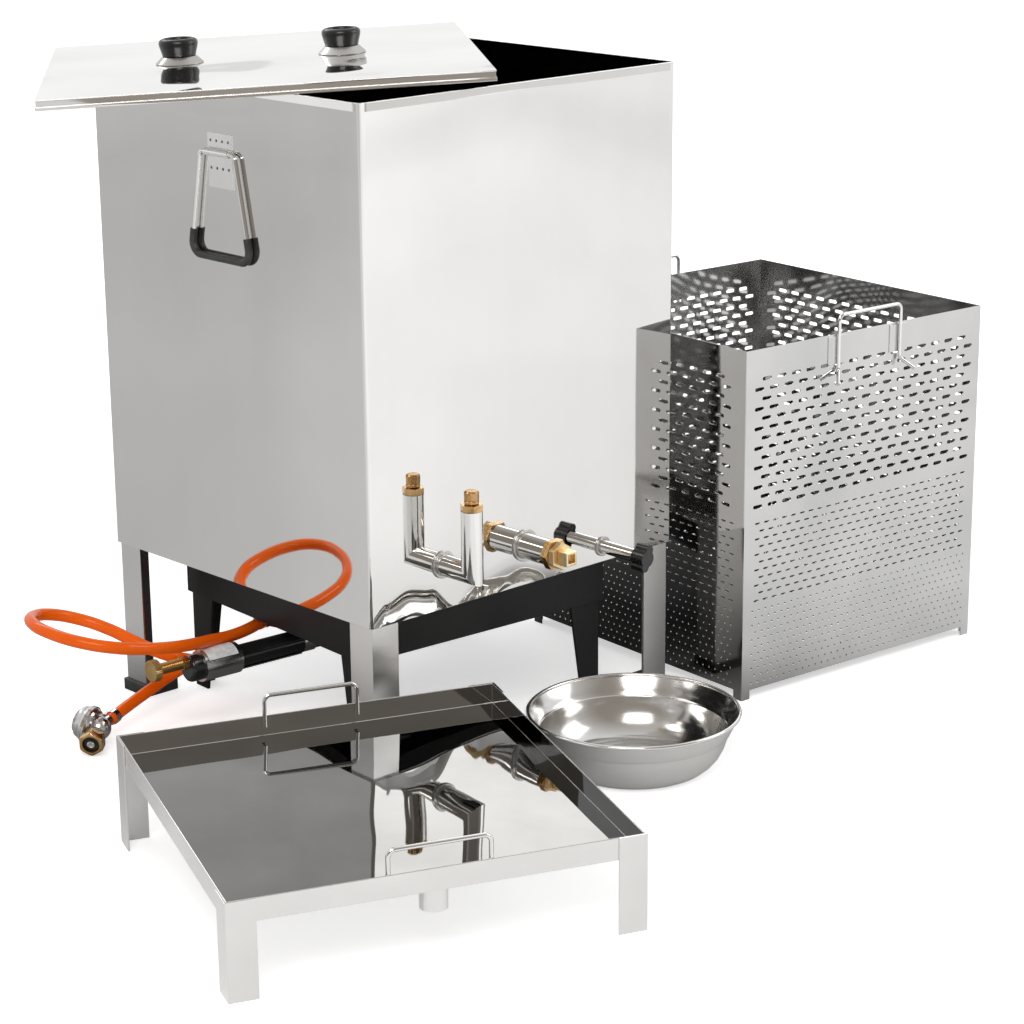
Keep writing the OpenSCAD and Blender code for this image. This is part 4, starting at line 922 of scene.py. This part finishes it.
# Route of the hose from the tank's middle, in millimetres, as in the part's source
HOSE_POINTS = [
    (-165, 58, 120), (-200, 48, 118), (-238, 38, 120), (-275, 28, 126), (-312, 15, 133), (-350, 5, 141),
    (-388, 3, 149), (-425, 12, 157), (-456, 38, 165), (-472, 75, 171), (-470, 115, 173), (-448, 148, 169),
    (-412, 162, 160), (-378, 152, 148), (-356, 125, 137), (-342, 94, 126), (-325, 68, 114), (-298, 52, 102),
    (-258, 45, 92), (-216, 43, 84), (-184, 54, 77), (-166, 80, 71), (-166, 112, 65), (-184, 138, 58),
    (-216, 148, 51), (-252, 146, 44), (-289, 138, 37), (-330, 127, 30), (-370, 112, 25)]
HOSE_LINE = [Vector(p) * MM for p in HOSE_POINTS]
HOSE_END = HOSE_LINE[-1]
HOSE_OUT = (HOSE_LINE[-1] - HOSE_LINE[-2]).normalized()
# Direction of the regulator's bonnet, and direction over the floor, reach and floor clearance of its union nut
BONNET_WAY = Vector((-0.43, 0.86, 0.25)).normalized()
UNION_SIDE = (-0.76, -0.65)
UNION_REACH = 0.040
FLOOR_GAP = 0.5 * MM


def regulator_core():
    b = bpy.context.scene.melter_burner
    return HOSE_END + HOSE_OUT * (b.arm + b.core / 4)


def union_way():
    """Direction of the union nut, whose lowest corner comes down to the floor at its reach."""
    b = bpy.context.scene.melter_burner
    fall = (b.union / 2 + FLOOR_GAP - regulator_core().z) / UNION_REACH
    return Vector((*UNION_SIDE, fall)).normalized()


class MELTER_OT_hose(bpy.types.Operator):
    """Orange gas hose as one smooth curve, with its clamps and regulator"""

    bl_idname = "melter.hose"
    bl_label = "Hose and regulator"

    def execute(self, context):
        b = context.scene.melter_burner
        clamps = eased("hose_clamps", "satin_steel", "rod_steel", 0.3)
        body = eased("regulator_body", "zinc", "cast_zinc", 0.7)
        painted("regulator_seal", "black_rubber")
        nut = self.union_nut(b)
        nipple = self.nipple(b)
        bonnet = self.bonnet(b)
        hose = round_curve("gas_hose_rubber", b.hose, 6)
        hose.data.resolution_u = 10
        line = hose.data.splines.new("BEZIER")
        line.bezier_points.add(len(HOSE_LINE) - 1)
        for point, at in zip(line.bezier_points, HOSE_LINE):
            point.co = TANK @ at
            point.handle_left_type = point.handle_right_type = "AUTO"
        settled(hose, "gas_hose_rubber", "melter", "hose_rubber", "hose_rubber", "gas_hose")
        return {"FINISHED"}

    def union_nut(self, b):
        """Six-sided nut with chamfered ends, a bore for the neck and a threaded mouth."""
        back = b.neck - b.union_length / 3
        third = b.union_length / 3
        mouth = b.neck_head / 2 + 1 * MM
        nut = prism(6, b.union / 2, b.union_length, back)
        chamfer = turned([
            (b.union, back - 5 * MM), (b.union, back + b.union_length + 5 * MM),
            (b.union / 2 - 3 * MM, back + b.union_length + 1.2 * MM),
            (b.union / 2 + 0.2 * MM, back + b.union_length - 1.8 * MM),
            (b.union / 2 + 0.2 * MM, back + 1.8 * MM), (b.union / 2 - 3 * MM, back - 1.2 * MM),
            (b.union, back - 5 * MM)], 48)
        cut(nut, chamfer)
        thread = [(0, back + third), (b.neck_head / 2 + 0.2 * MM, back + third)]
        turns = 5
        pitch = (b.union_length - third) / turns
        for k in range(turns):
            thread.append((mouth + 0.5 * MM, back + third + (k + 0.5) * pitch))
            thread.append((mouth - 0.4 * MM, back + third + (k + 1) * pitch))
        thread += [(mouth + 1.2 * MM, back + b.union_length + 1 * MM), (0, back + b.union_length + 1 * MM)]
        cut(nut, turned(thread, 48))
        cut(nut, prism(48, b.neck_width / 2 + 0.1 * MM, third + 4 * MM, back - 2 * MM))
        rounded(nut, 0.35 * MM)
        placed(nut, along(regulator_core(), union_way()))
        return settled(nut, "regulator_union_nut", "union_nut", "brass", "brass", "regulator_nut")

    def nipple(self, b):
        """Bright ring and ball seat that shows inside the union nut."""
        low = b.neck + 3 * MM
        ring = turned([
            (2.2 * MM, low + 3 * MM), (2.2 * MM, low + 8.6 * MM), (3.4 * MM, low + 9 * MM),
            (4.7 * MM, low + 8.2 * MM), (4.7 * MM, low + 3 * MM), (2.2 * MM, low + 3 * MM)], 32)
        smooth(ring)
        placed(ring, along(regulator_core(), union_way()))
        return settled(ring, "regulator_nipple", "melter", "satin_steel", "rod_steel")

    def bonnet(self, b):
        """Spun cover of the regulator's diaphragm: a flange, a ridge and a raised cap."""
        r = b.bonnet / 2
        cap = 0.31 * b.bonnet
        profile = [
            (0, 6.2 * MM), (r - 4 * MM, 6.2 * MM), (r - 0.6 * MM, 9.5 * MM), (r + 0.4 * MM, 10.6 * MM),
            (r + 0.4 * MM, 12.4 * MM), (r - 0.8 * MM, 13 * MM), (r + 0.4 * MM, 13.6 * MM),
            (r + 0.4 * MM, 15.2 * MM), (r - 1.2 * MM, 16.2 * MM), (cap + 4.4 * MM, 25.6 * MM),
            (cap + 2 * MM, 26.6 * MM), (cap + 0.4 * MM, 27 * MM), (cap + 0.4 * MM, 29.4 * MM),
            (cap - 0.8 * MM, 30.4 * MM), (cap - 3 * MM, 30.4 * MM), (cap - 3.6 * MM, 29.8 * MM), (0, 29.8 * MM)]
        cover = smooth(turned(profile, 64))
        placed(cover, along(regulator_core(), BONNET_WAY))
        return settled(cover, "regulator_bonnet", "melter", "zinc", "cast_zinc")


class MELTER_OT_tank(bpy.types.Operator):
    """Tank sheet, floor, legs and feet"""

    bl_idname = "melter.tank"
    bl_label = "Tank"

    def execute(self, context):
        eased("tank_shell", "stainless", "tank_steel", 0.4, reshape=self.folded)
        painted("tank_floor", "tank_steel")
        for corner in CORNERS:
            # Painted light: the front right leg is lighter than the others, besides its rougher satin polish
            finish = "leg_satin" if corner == "front_right" else "leg_steel"
            eased("tank_leg_" + corner, "satin_steel", finish, 0.4)
        eased("tank_feet", "black_rubber", "black_rubber", 1.2, 3)
        return {"FINISHED"}

    def folded(self, piece):
        """Rounds the upright folds, and lets the hem's free edge stand off the wall so that the hem leans."""
        s = bpy.context.scene.melter_sizes
        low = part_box("tank_shell")[1].z - s.hem_height
        centre = middle("tank_shell")
        out = s.tank_width / 2 + s.hem / 2
        for axis in (0, 1):
            for side in (-1, 1):
                pick(piece, lambda co: abs(co.z - low) < 0.1 * MM and (co[axis] - centre[axis]) * side > out)
                move = [0, 0, 0]
                move[axis] = side * s.hem_flare
                bpy.ops.transform.translate(value=move)
        half = s.tank_width / 2 - 0.1 * MM
        pick(piece, lambda co: all(half < abs(co[axis] - centre[axis]) < half + 0.2 * MM for axis in (0, 1)))
        bpy.ops.mesh.select_mode(type="EDGE")
        bpy.ops.mesh.bevel(offset=s.tank_fold, segments=4, affect="EDGES")
        bpy.ops.mesh.select_mode(type="VERT")


# Spot welds on a handle's strap, in millimetres from its pivot
WELD_ROWS = (13, -19)
WELD_PLACES = (-16.5, -5.5, 5.5, 16.5)


class MELTER_OT_handles(bpy.types.Operator):
    """Drop handles: bent rod, black sleeve, and a strap with spot welds"""

    bl_idname = "melter.handles"
    bl_label = "Drop handles"

    def execute(self, context):
        s = context.scene.melter_sizes
        for side, name in ((-1, "left"), (1, "right")):
            place = TANK @ moved(side * s.tank_width / 2, 0, s.pivot_height) @ spun(180 if side < 0 else 0)
            body = "handle_" + name
            x = s.pivot_out
            corners = [
                (x, s.bail_top / 2, 0), (x, s.bail_low / 2, -s.bail_drop),
                (x, -s.bail_low / 2, -s.bail_drop), (x, -s.bail_top / 2, 0)]
            bends = [s.bail_top_bend, s.bail_low_bend, s.bail_low_bend, s.bail_top_bend]
            bail = placed(wire(bent(corners, bends, 10), s.rod, True), place)
            settled(bail, "handle_rod_" + name, body, "satin_steel", "rod_steel", "handle_bail_" + name)
            low = [Vector(c) for c in corners]
            share = s.grip_up / (low[0] - low[1]).length
            ends = [low[1].lerp(low[0], share), low[1], low[2], low[2].lerp(low[3], share)]
            sleeve = wire(bent(ends, [0, s.bail_low_bend, s.bail_low_bend, 0], 10), s.grip)
            placed(rounded(sleeve, 0.9 * MM, 3, 50), place)
            settled(sleeve, "handle_sleeve_" + name, body, "black_rubber", "black_rubber", "handle_grip_" + name)
            eased("handle_strap_" + name, "satin_steel", "strap_steel", 0.3)
            self.welds(s, place, name)
        return {"FINISHED"}

    def welds(self, s, place, name):
        """Two rows of four spot welds on the strap."""
        dots = []
        for z in WELD_ROWS:
            for y in WELD_PLACES:
                deselect()
                bpy.ops.mesh.primitive_uv_sphere_add(
                    segments=14, ring_count=8, radius=s.weld_dot / 2, location=(s.strap, y * MM, z * MM))
                bpy.context.object.scale = (0.3, 1, 1)
                dots.append(applied())
        row = smooth(joined(dots))
        placed(row, place)
        settled(row, "strap_welds_" + name, "melter", "satin_steel", "dimple_steel")


class MELTER_OT_fittings(bpy.types.Operator):
    """Filler, wax outlet and drain on the tank's front"""

    bl_idname = "melter.fittings"
    bl_label = "Front fittings"

    def execute(self, context):
        s = context.scene.melter_sizes
        for pipe in ("filler_pipe", "outlet_pipe", "drain_pipe"):
            eased(pipe, "stainless", "pipe_steel", 0.3)
        eased("filler_collar", "brass", "brass", 0.9)
        eased("outlet_collar", "brass", "brass", 1.0)
        eased("pipe_weld_rings", "satin_steel", "weld_steel", 0.9, 3)
        eased("drain_wing_cap", "black_cap", "black_plastic", 2.2, 4)
        self.filler_plug(s)
        self.outlet_plug(s)
        return {"FINISHED"}

    def filler_plug(self, s):
        """Turned plug: shank, neck groove, flat-sided head and chamfered top."""
        low = s.turn_gap
        top = s.collar_height + s.turn_gap
        r = s.plug / 2
        shank = s.plug_shank / 2
        profile = [
            (0, low), (shank, low), (shank, top), (r - 1.2 * MM, top), (r, top + 1.2 * MM),
            (r, top + 3.6 * MM), (r - 0.5 * MM, top + 4 * MM), (r - 0.5 * MM, top + 4.8 * MM),
            (r, top + 5.2 * MM), (r, top + s.plug_height - 1.8 * MM), (r - 1.8 * MM, top + s.plug_height),
            (0, top + s.plug_height)]
        plug = rounded(turned(profile, 64), 0.3 * MM)
        at = (s.filler_x, -s.tank_width / 2 - s.filler_reach, s.tank_lift + s.filler_z + s.filler_rise)
        placed(plug, TANK @ moved(*at))
        settled(plug, "filler_screw_plug", "filler_plug", "brass", "plug_brass", "filler_plug")

    def outlet_plug(self, s):
        """Plug with a hexagon, a hollow square head and its shank."""
        low = s.outlet_reach + s.turn_gap
        head = s.outlet_reach + s.outlet_collar + s.turn_gap
        face = head + s.outlet_hexagon
        shank = prism(48, s.outlet_shank / 2, s.outlet_collar, low)
        hexagon = prism(6, s.outlet_flats / math.sqrt(3), s.outlet_hexagon, head)
        square = block(
            s.outlet_square, s.outlet_square, s.outlet_square_length, (0, 0, face + s.outlet_square_length / 2))
        edit(square)
        top = face + s.outlet_square_length
        pick(square, lambda co: co.z > top - 0.01 * MM)
        bpy.ops.mesh.inset(thickness=3.2 * MM)
        bpy.ops.mesh.extrude_region_move(TRANSFORM_OT_translate={"value": (0, 0, -9 * MM)})
        bpy.ops.object.mode_set(mode="OBJECT")
        rounded(shank, 0.4 * MM)
        rounded(hexagon, 1.2 * MM, 3)
        rounded(square, 0.8 * MM, 3)
        plug = joined([square, hexagon, shank])
        placed(plug, on_front(s.outlet_x, s.outlet_z))
        settled(plug, "outlet_screw_plug", "outlet_plug", "brass", "pale_brass", "outlet_plug")


class MELTER_OT_lid(bpy.types.Operator):
    """Lid of a flat cover on a hemmed skirt, with its knobs on cones"""

    bl_idname = "melter.lid"
    bl_label = "Lid"

    def execute(self, context):
        s = context.scene.melter_sizes
        eased("lid_cover", "stainless", "lid_steel", 0.6, 3)
        eased("lid_skirt", "stainless", "lid_steel", 0.5, 3)
        painted("lid_knob_screws", "leg_steel")
        r = s.knob_base / 2
        foot = s.knob_foot / 2
        top = s.knob / 2
        h = s.knob_height
        cone = turned([
            (0, 0), (r - 0.8 * MM, 0), (r, 0.7 * MM), (r - 0.7 * MM, 1.7 * MM),
            (foot + 0.8 * MM, s.knob_base_height - 0.3 * MM), (foot, s.knob_base_height), (0, s.knob_base_height)])
        smooth(cone, 25)
        z = s.knob_base_height
        knob = turned([
            (0, z), (foot - 0.9 * MM, z), (foot, z + 0.7 * MM), (foot + 0.6 * MM, z + 0.16 * h),
            (foot + 1.5 * MM, z + 0.32 * h), (foot + 2.4 * MM, z + 0.46 * h), (top - 0.5 * MM, z + 0.58 * h),
            (top, z + 0.7 * h), (top - 0.3 * MM, z + 0.82 * h), (top - 1.4 * MM, z + 0.92 * h),
            (top - 3.2 * MM, z + 0.98 * h), (top - 5 * MM, z + h), (top - 6.4 * MM, z + 0.985 * h),
            (top - 7.2 * MM, z + 0.94 * h), (top - 7.6 * MM, z + 0.86 * h), (top - 8.6 * MM, z + 0.82 * h),
            (0, z + 0.8 * h)])
        smooth(knob, 50)
        centred = on_lid() @ moved(-s.knob_pitch / 2, 0, 0)
        for piece, name, slot, finish, node in (
                (cone, "lid_knob_cones", "satin_steel", "cone_steel", "lid_knob_bases"),
                (knob, "lid_knob_pair", "black_knob", "bakelite", "lid_knobs")):
            pair = joined([piece, copied(piece, moved(s.knob_pitch, 0, 0))])
            settled(placed(pair, centred), name, "lid", slot, finish, node)
        return {"FINISHED"}


class MELTER_OT_basket(bpy.types.Operator):
    """Perforated basket: four panels with rows of slots and holes, floor and wire handles"""

    bl_idname = "melter.basket"
    bl_label = "Basket"

    def execute(self, context):
        b = context.scene.melter_basket
        s = context.scene.melter_sizes
        half = b.width / 2
        wide = self.panel(b, b.width)
        narrow = self.panel(b, b.width - 2 * b.sheet)
        inward = moved(0, -half + b.sheet / 2, 0)
        for piece, names in ((wide, (("front", 0), ("rear", 180))), (narrow, (("left", 270), ("right", 90)))):
            for name, turn in names:
                place = BASKET @ spun(turn) @ inward
                panel = copied(piece, place)
                finish = "basket_shade_steel" if name == "left" else "basket_steel"
                settled(panel, "basket_panel_" + name, "basket", "stainless", finish, "basket_" + name)
                # The panels' inner faces take the painted shade of the basket's inside
                panel.data.materials.append(worn("basket_inside_steel"))
            bpy.data.objects.remove(piece)
        # Painted shade: the basket's floor takes the dark inside finish
        painted("basket_floor", "basket_inside_steel")
        eased("basket_grip_plates", "satin_steel", "basket_steel", 0.3)
        x = s.wire_grip / 2
        y = -half - b.plate - s.wire / 2
        high = b.height + s.wire_up
        low = b.height - b.grip_down
        hook = b.grip_hook
        path = [
            (-x - hook, y - hook, low - hook), (-x, y, low), (-x, y, high),
            (x, y, high), (x, y, low), (x + hook, y - hook, low - hook)]
        bends = [0, s.wire_bend, s.wire_bend, s.wire_bend, s.wire_bend, 0]
        for name, turn in (("front", 0), ("rear", 180)):
            grip = placed(wire(bent(path, bends), s.wire), BASKET @ spun(turn))
            settled(grip, "basket_wire_" + name, "basket", "satin_steel", "rod_steel", "basket_grip_" + name)
        return {"FINISHED"}

    def panel(self, b, width):
        """One sheet on two corner feet, with its holes cut in staggered rows."""
        sheet = block(width, b.sheet, b.height, (0, 0, b.height / 2))
        gap = width - 2 * b.foot_width
        cutters = [block(gap, 4 * b.sheet, 2 * b.foot_height)]
        rows = (
            (b.long_length, b.long_height, b.long_pitch, b.long_row, b.long_low, b.long_rows, 16),
            (b.short_length, b.short_height, b.short_pitch, b.short_row, b.short_low, b.short_rows, 12),
            (b.dot, b.dot, b.dot_pitch, b.dot_row, b.dot_low, b.dot_rows, 10))
        for length, height, pitch, row, low, number_of_rows, sides in rows:
            room = width - 2 * b.margin - length
            full = int(room / pitch) + 1
            for odd in (0, 1):
                across = full - odd
                start = -(across - 1) * pitch / 2
                hole = self.hole(length, height, 4 * b.sheet, sides)
                shaped(
                    hole, "ARRAY", count=across, use_relative_offset=False, use_constant_offset=True,
                    constant_offset_displace=(pitch, 0, 0))
                shaped(
                    hole, "ARRAY", count=(number_of_rows + 1 - odd) // 2, use_relative_offset=False,
                    use_constant_offset=True, constant_offset_displace=(0, 0, 2 * row))
                cutters.append(placed(hole, moved(start, 0, low + odd * row)))
        cut(sheet, joined(cutters))
        shaded(sheet)
        # Inner faces take the second material, the painted shade of the basket's inside
        for face in sheet.data.polygons:
            face.material_index = 1 if face.normal.y > 0.9 else 0
        return sheet

    def hole(self, length, height, depth, sides):
        """Round-ended slot through y: a cylinder whose halves are drawn apart."""
        deselect()
        bpy.ops.mesh.primitive_cylinder_add(
            vertices=sides, radius=height / 2, depth=depth, rotation=(math.pi / 2, 0, 0))
        piece = applied()
        draw = (length - height) / 2
        if draw > 0:
            edit(piece)
            for side in (-1, 1):
                pick(piece, lambda co, side=side: co.x * side > 0.01 * MM)
                bpy.ops.transform.translate(value=(side * draw, 0, 0))
            bpy.ops.object.mode_set(mode="OBJECT")
        return piece


class MELTER_OT_tray(bpy.types.Operator):
    """Catch tray with its legs, spout and wire handles"""

    bl_idname = "melter.tray"
    bl_label = "Catch tray"

    def execute(self, context):
        s = context.scene.melter_sizes
        pan = eased("tray_pan", "stainless", "tray_steel", 0.7, 3)
        pan.data.materials.append(worn("tray_floor_steel"))
        back = TRAY.inverted()
        margin = s.tray_inset + 2 * MM
        for face in pan.data.polygons:
            at = back @ face.center
            way = back.to_3x3() @ face.normal
            within = abs(at.x) < s.tray_width / 2 - margin and abs(at.y) < s.tray_depth / 2 - margin
            # The floor and the inner right wall take the darker copy of the steel, as painted shade
            shaded_right_wall = at.x > 0 and way.x < -0.9
            face.material_index = 1 if shaded_right_wall or within and way.z > 0.9 else 0
        for corner in CORNERS:
            eased("tray_leg_" + corner, "stainless", "tray_steel", 0.4)
        eased("tray_spout", "stainless", "pipe_steel", 0.3)
        x = s.wire_grip / 2
        for side, name in ((-1, "front"), (1, "rear")):
            y = side * (s.tray_depth / 2 - s.tray_inset - s.wire / 2)
            rim = s.tray_front + s.tray_fall * (y / s.tray_depth + 0.5)
            low = rim - s.tray_wall / 2
            high = rim + s.wire_up
            path = [(-x, y, low), (-x, y, high), (x, y, high), (x, y, low)]
            grip = placed(wire(bent(path, [0, s.wire_bend, s.wire_bend, 0]), s.wire), TRAY)
            settled(grip, "tray_wire_" + name, "tray", "satin_steel", "rod_steel", "tray_grip_" + name)
        return {"FINISHED"}


class MELTER_OT_bowl(bpy.types.Operator):
    """Spun bowl with a stepped wall and a rolled rim"""

    bl_idname = "melter.bowl"
    bl_label = "Bowl"

    def execute(self, context):
        s = context.scene.melter_sizes
        base = s.bowl_base / 2
        roll = s.bowl_roll / 2
        rim = s.bowl / 2 - roll
        rim_z = s.bowl_height - roll
        step = base + (rim - base) * 0.72
        step_z = s.bowl_height * 0.62
        h = s.bowl_height
        outer = [
            (0, 0), (base - 3 * MM, 0), (base + 4 * MM, 0.012 * h), (base + 0.28 * (step - base), 0.05 * h),
            (base + 0.52 * (step - base), 0.145 * h), (base + 0.72 * (step - base), 0.26 * h),
            (base + 0.87 * (step - base), 0.4 * h), (base + 0.96 * (step - base), 0.53 * h), (step, step_z),
            (step + 0.9 * MM, step_z + 1.1 * MM), (step + 2.5 * MM, step_z + 2 * MM),
            (step + 0.36 * (rim - step), 0.72 * h), (step + 0.68 * (rim - step), 0.83 * h), (rim, rim_z)]
        t = s.bowl_sheet
        inner = [(max(0, r - (t if r else 0)), z + t) for r, z in reversed(outer)]
        wall = turned(outer + inner[1:], 96)
        bead = turned([
            (rim + roll * math.cos(math.radians(a)), rim_z + roll * math.sin(math.radians(a)))
            for a in range(0, 361, 30)], 96)
        piece = smooth(joined([wall, bead]), 60)
        settled(placed(piece, BOWL), "bowl_spun", "bowl", "stainless", "bowl_steel", "bowl")
        piece.data.materials.append(worn("bowl_satin"))
        axis = middle("bowl")
        for face in piece.data.polygons:
            out = Vector((face.center.x - axis.x, face.center.y - axis.y, 0))
            low = face.center.z < rim_z - roll
            face.material_index = 1 if low and (face.normal.dot(out) > 0 or face.normal.z < -0.5) else 0
        return {"FINISHED"}


class MELTER_OT_burner(bpy.types.Operator):
    """Burner stand, burner, mixing tube and valve"""

    bl_idname = "melter.burner"
    bl_label = "Stand and burner"

    def execute(self, context):
        b = context.scene.melter_burner
        for node in ("stand_rails", "stand_legs", "burner_bars"):
            eased(node, "black_paint", "black_paint", 0.6)
        eased("burner_head", "cast_burner", "cast_iron", 0.8)
        eased("gas_inlet", "black_paint", "cast_iron", 1.2, 3)
        eased("mixing_tube", "black_paint", "gloss_black", 0.3)
        eased("jet_body", "black_paint", "gloss_black", 0.3)
        eased("tube_sleeve", "stainless", "leg_steel", 0.3)
        eased("tube_band", "stainless", "leg_steel", 0.3)
        eased("valve_stem", "brass", "stem_brass", 0.5)
        self.knob(b)
        self.patch(b)
        return {"FINISHED"}

    def tube(self, height):
        """Frame on the stand's middle at a height, with z along the mixing tube."""
        return STAND @ lifted(height) @ spun(-90, "Y")

    def patch(self, b):
        """Bare pale patch round the sleeve's upper front: a sector of a thin ring."""
        r = b.sleeve / 2 + 0.03 * MM
        thick = 0.25 * MM
        ring = turned([(r, 0), (r + thick, 0), (r + thick, b.patch), (r, b.patch), (r, 0)], 120)
        for degrees, side in ((24, 1), (-58, -1)):
            half = block(5 * r, 3 * r, 3 * b.patch, (0, side * 1.5 * r, 0))
            cut(ring, placed(half, spun(degrees)))
        smooth(ring, 30)
        placed(ring, self.tube(b.tube_height) @ lifted(b.patch_from))
        settled(ring, "sleeve_patch", "melter", "stainless", "patch_paper")

    def knob(self, b):
        """Knurled brass knob with a shallow recess in its face, on its spindle."""
        low = b.stem_end + 0.1 * MM
        ridges, groove = 44, 0.965
        r = b.valve_knob / 2
        knob = prism(2 * ridges, r, b.valve_knob_thick, low)
        top = low + b.valve_knob_thick
        edit(knob)
        pitch = math.pi / ridges
        pick(knob, lambda co: round(math.atan2(co.y, co.x) / pitch) % 2 == 0)
        bpy.ops.transform.resize(value=(groove, groove, 1), center_override=(0, 0, low))
        pick(knob, lambda co: co.z > top - 0.01 * MM)
        bpy.ops.mesh.inset(thickness=1.1 * MM)
        bpy.ops.transform.translate(value=(0, 0, 0.5 * MM))
        bpy.ops.mesh.inset(thickness=1.3 * MM)
        bpy.ops.mesh.inset(thickness=0.5 * MM)
        bpy.ops.transform.translate(value=(0, 0, -0.6 * MM))
        bpy.ops.object.mode_set(mode="OBJECT")
        spindle = prism(32, b.spindle / 2, b.spindle_in, low - b.spindle_in)
        rounded(spindle, 0.4 * MM)
        smooth(knob, 30)
        piece = joined([knob, spindle])
        placed(piece, self.tube(b.tube_height + b.valve_up))
        settled(piece, "valve_knurled_knob", "valve_knob", "brass", "valve_brass", "valve_knob")


class MELTER_PT_panel(bpy.types.Panel):
    """Lists the pieces of the melter"""

    bl_idname = "MELTER_PT_panel"
    bl_label = "Gas wax melter"
    bl_space_type = "VIEW_3D"
    bl_region_type = "UI"
    bl_category = "Melter"

    def draw(self, context):
        for step in STEPS:
            self.layout.operator(step.bl_idname)


GROUPS = {
    "melter_sizes": MelterSizes,
    "melter_basket": MelterBasket,
    "melter_burner": MelterBurner,
    "melter_colours": MelterColours,
    "melter_stage": MelterStage,
}
STEPS = (
    MELTER_OT_finishes, MELTER_OT_stage, MELTER_OT_hose, MELTER_OT_tank, MELTER_OT_handles, MELTER_OT_fittings,
    MELTER_OT_lid, MELTER_OT_basket, MELTER_OT_tray, MELTER_OT_bowl, MELTER_OT_burner)


def register():
    for group in (*GROUPS.values(), *STEPS, MELTER_PT_panel):
        bpy.utils.register_class(group)
    for name, group in GROUPS.items():
        setattr(bpy.types.Scene, name, bpy.props.PointerProperty(type=group))


def unregister():
    for name in GROUPS:
        delattr(bpy.types.Scene, name)
    for group in reversed((*GROUPS.values(), *STEPS, MELTER_PT_panel)):
        bpy.utils.unregister_class(group)


def main():
    register()
    bpy.ops.melter.finishes()
    bpy.ops.melter.stage()
    bpy.ops.melter.hose()
    bpy.ops.melter.tank()
    bpy.ops.melter.handles()
    bpy.ops.melter.fittings()
    bpy.ops.melter.lid()
    bpy.ops.melter.basket()
    bpy.ops.melter.tray()
    bpy.ops.melter.bowl()
    bpy.ops.melter.burner()


if __name__ == "__main__":
    main()
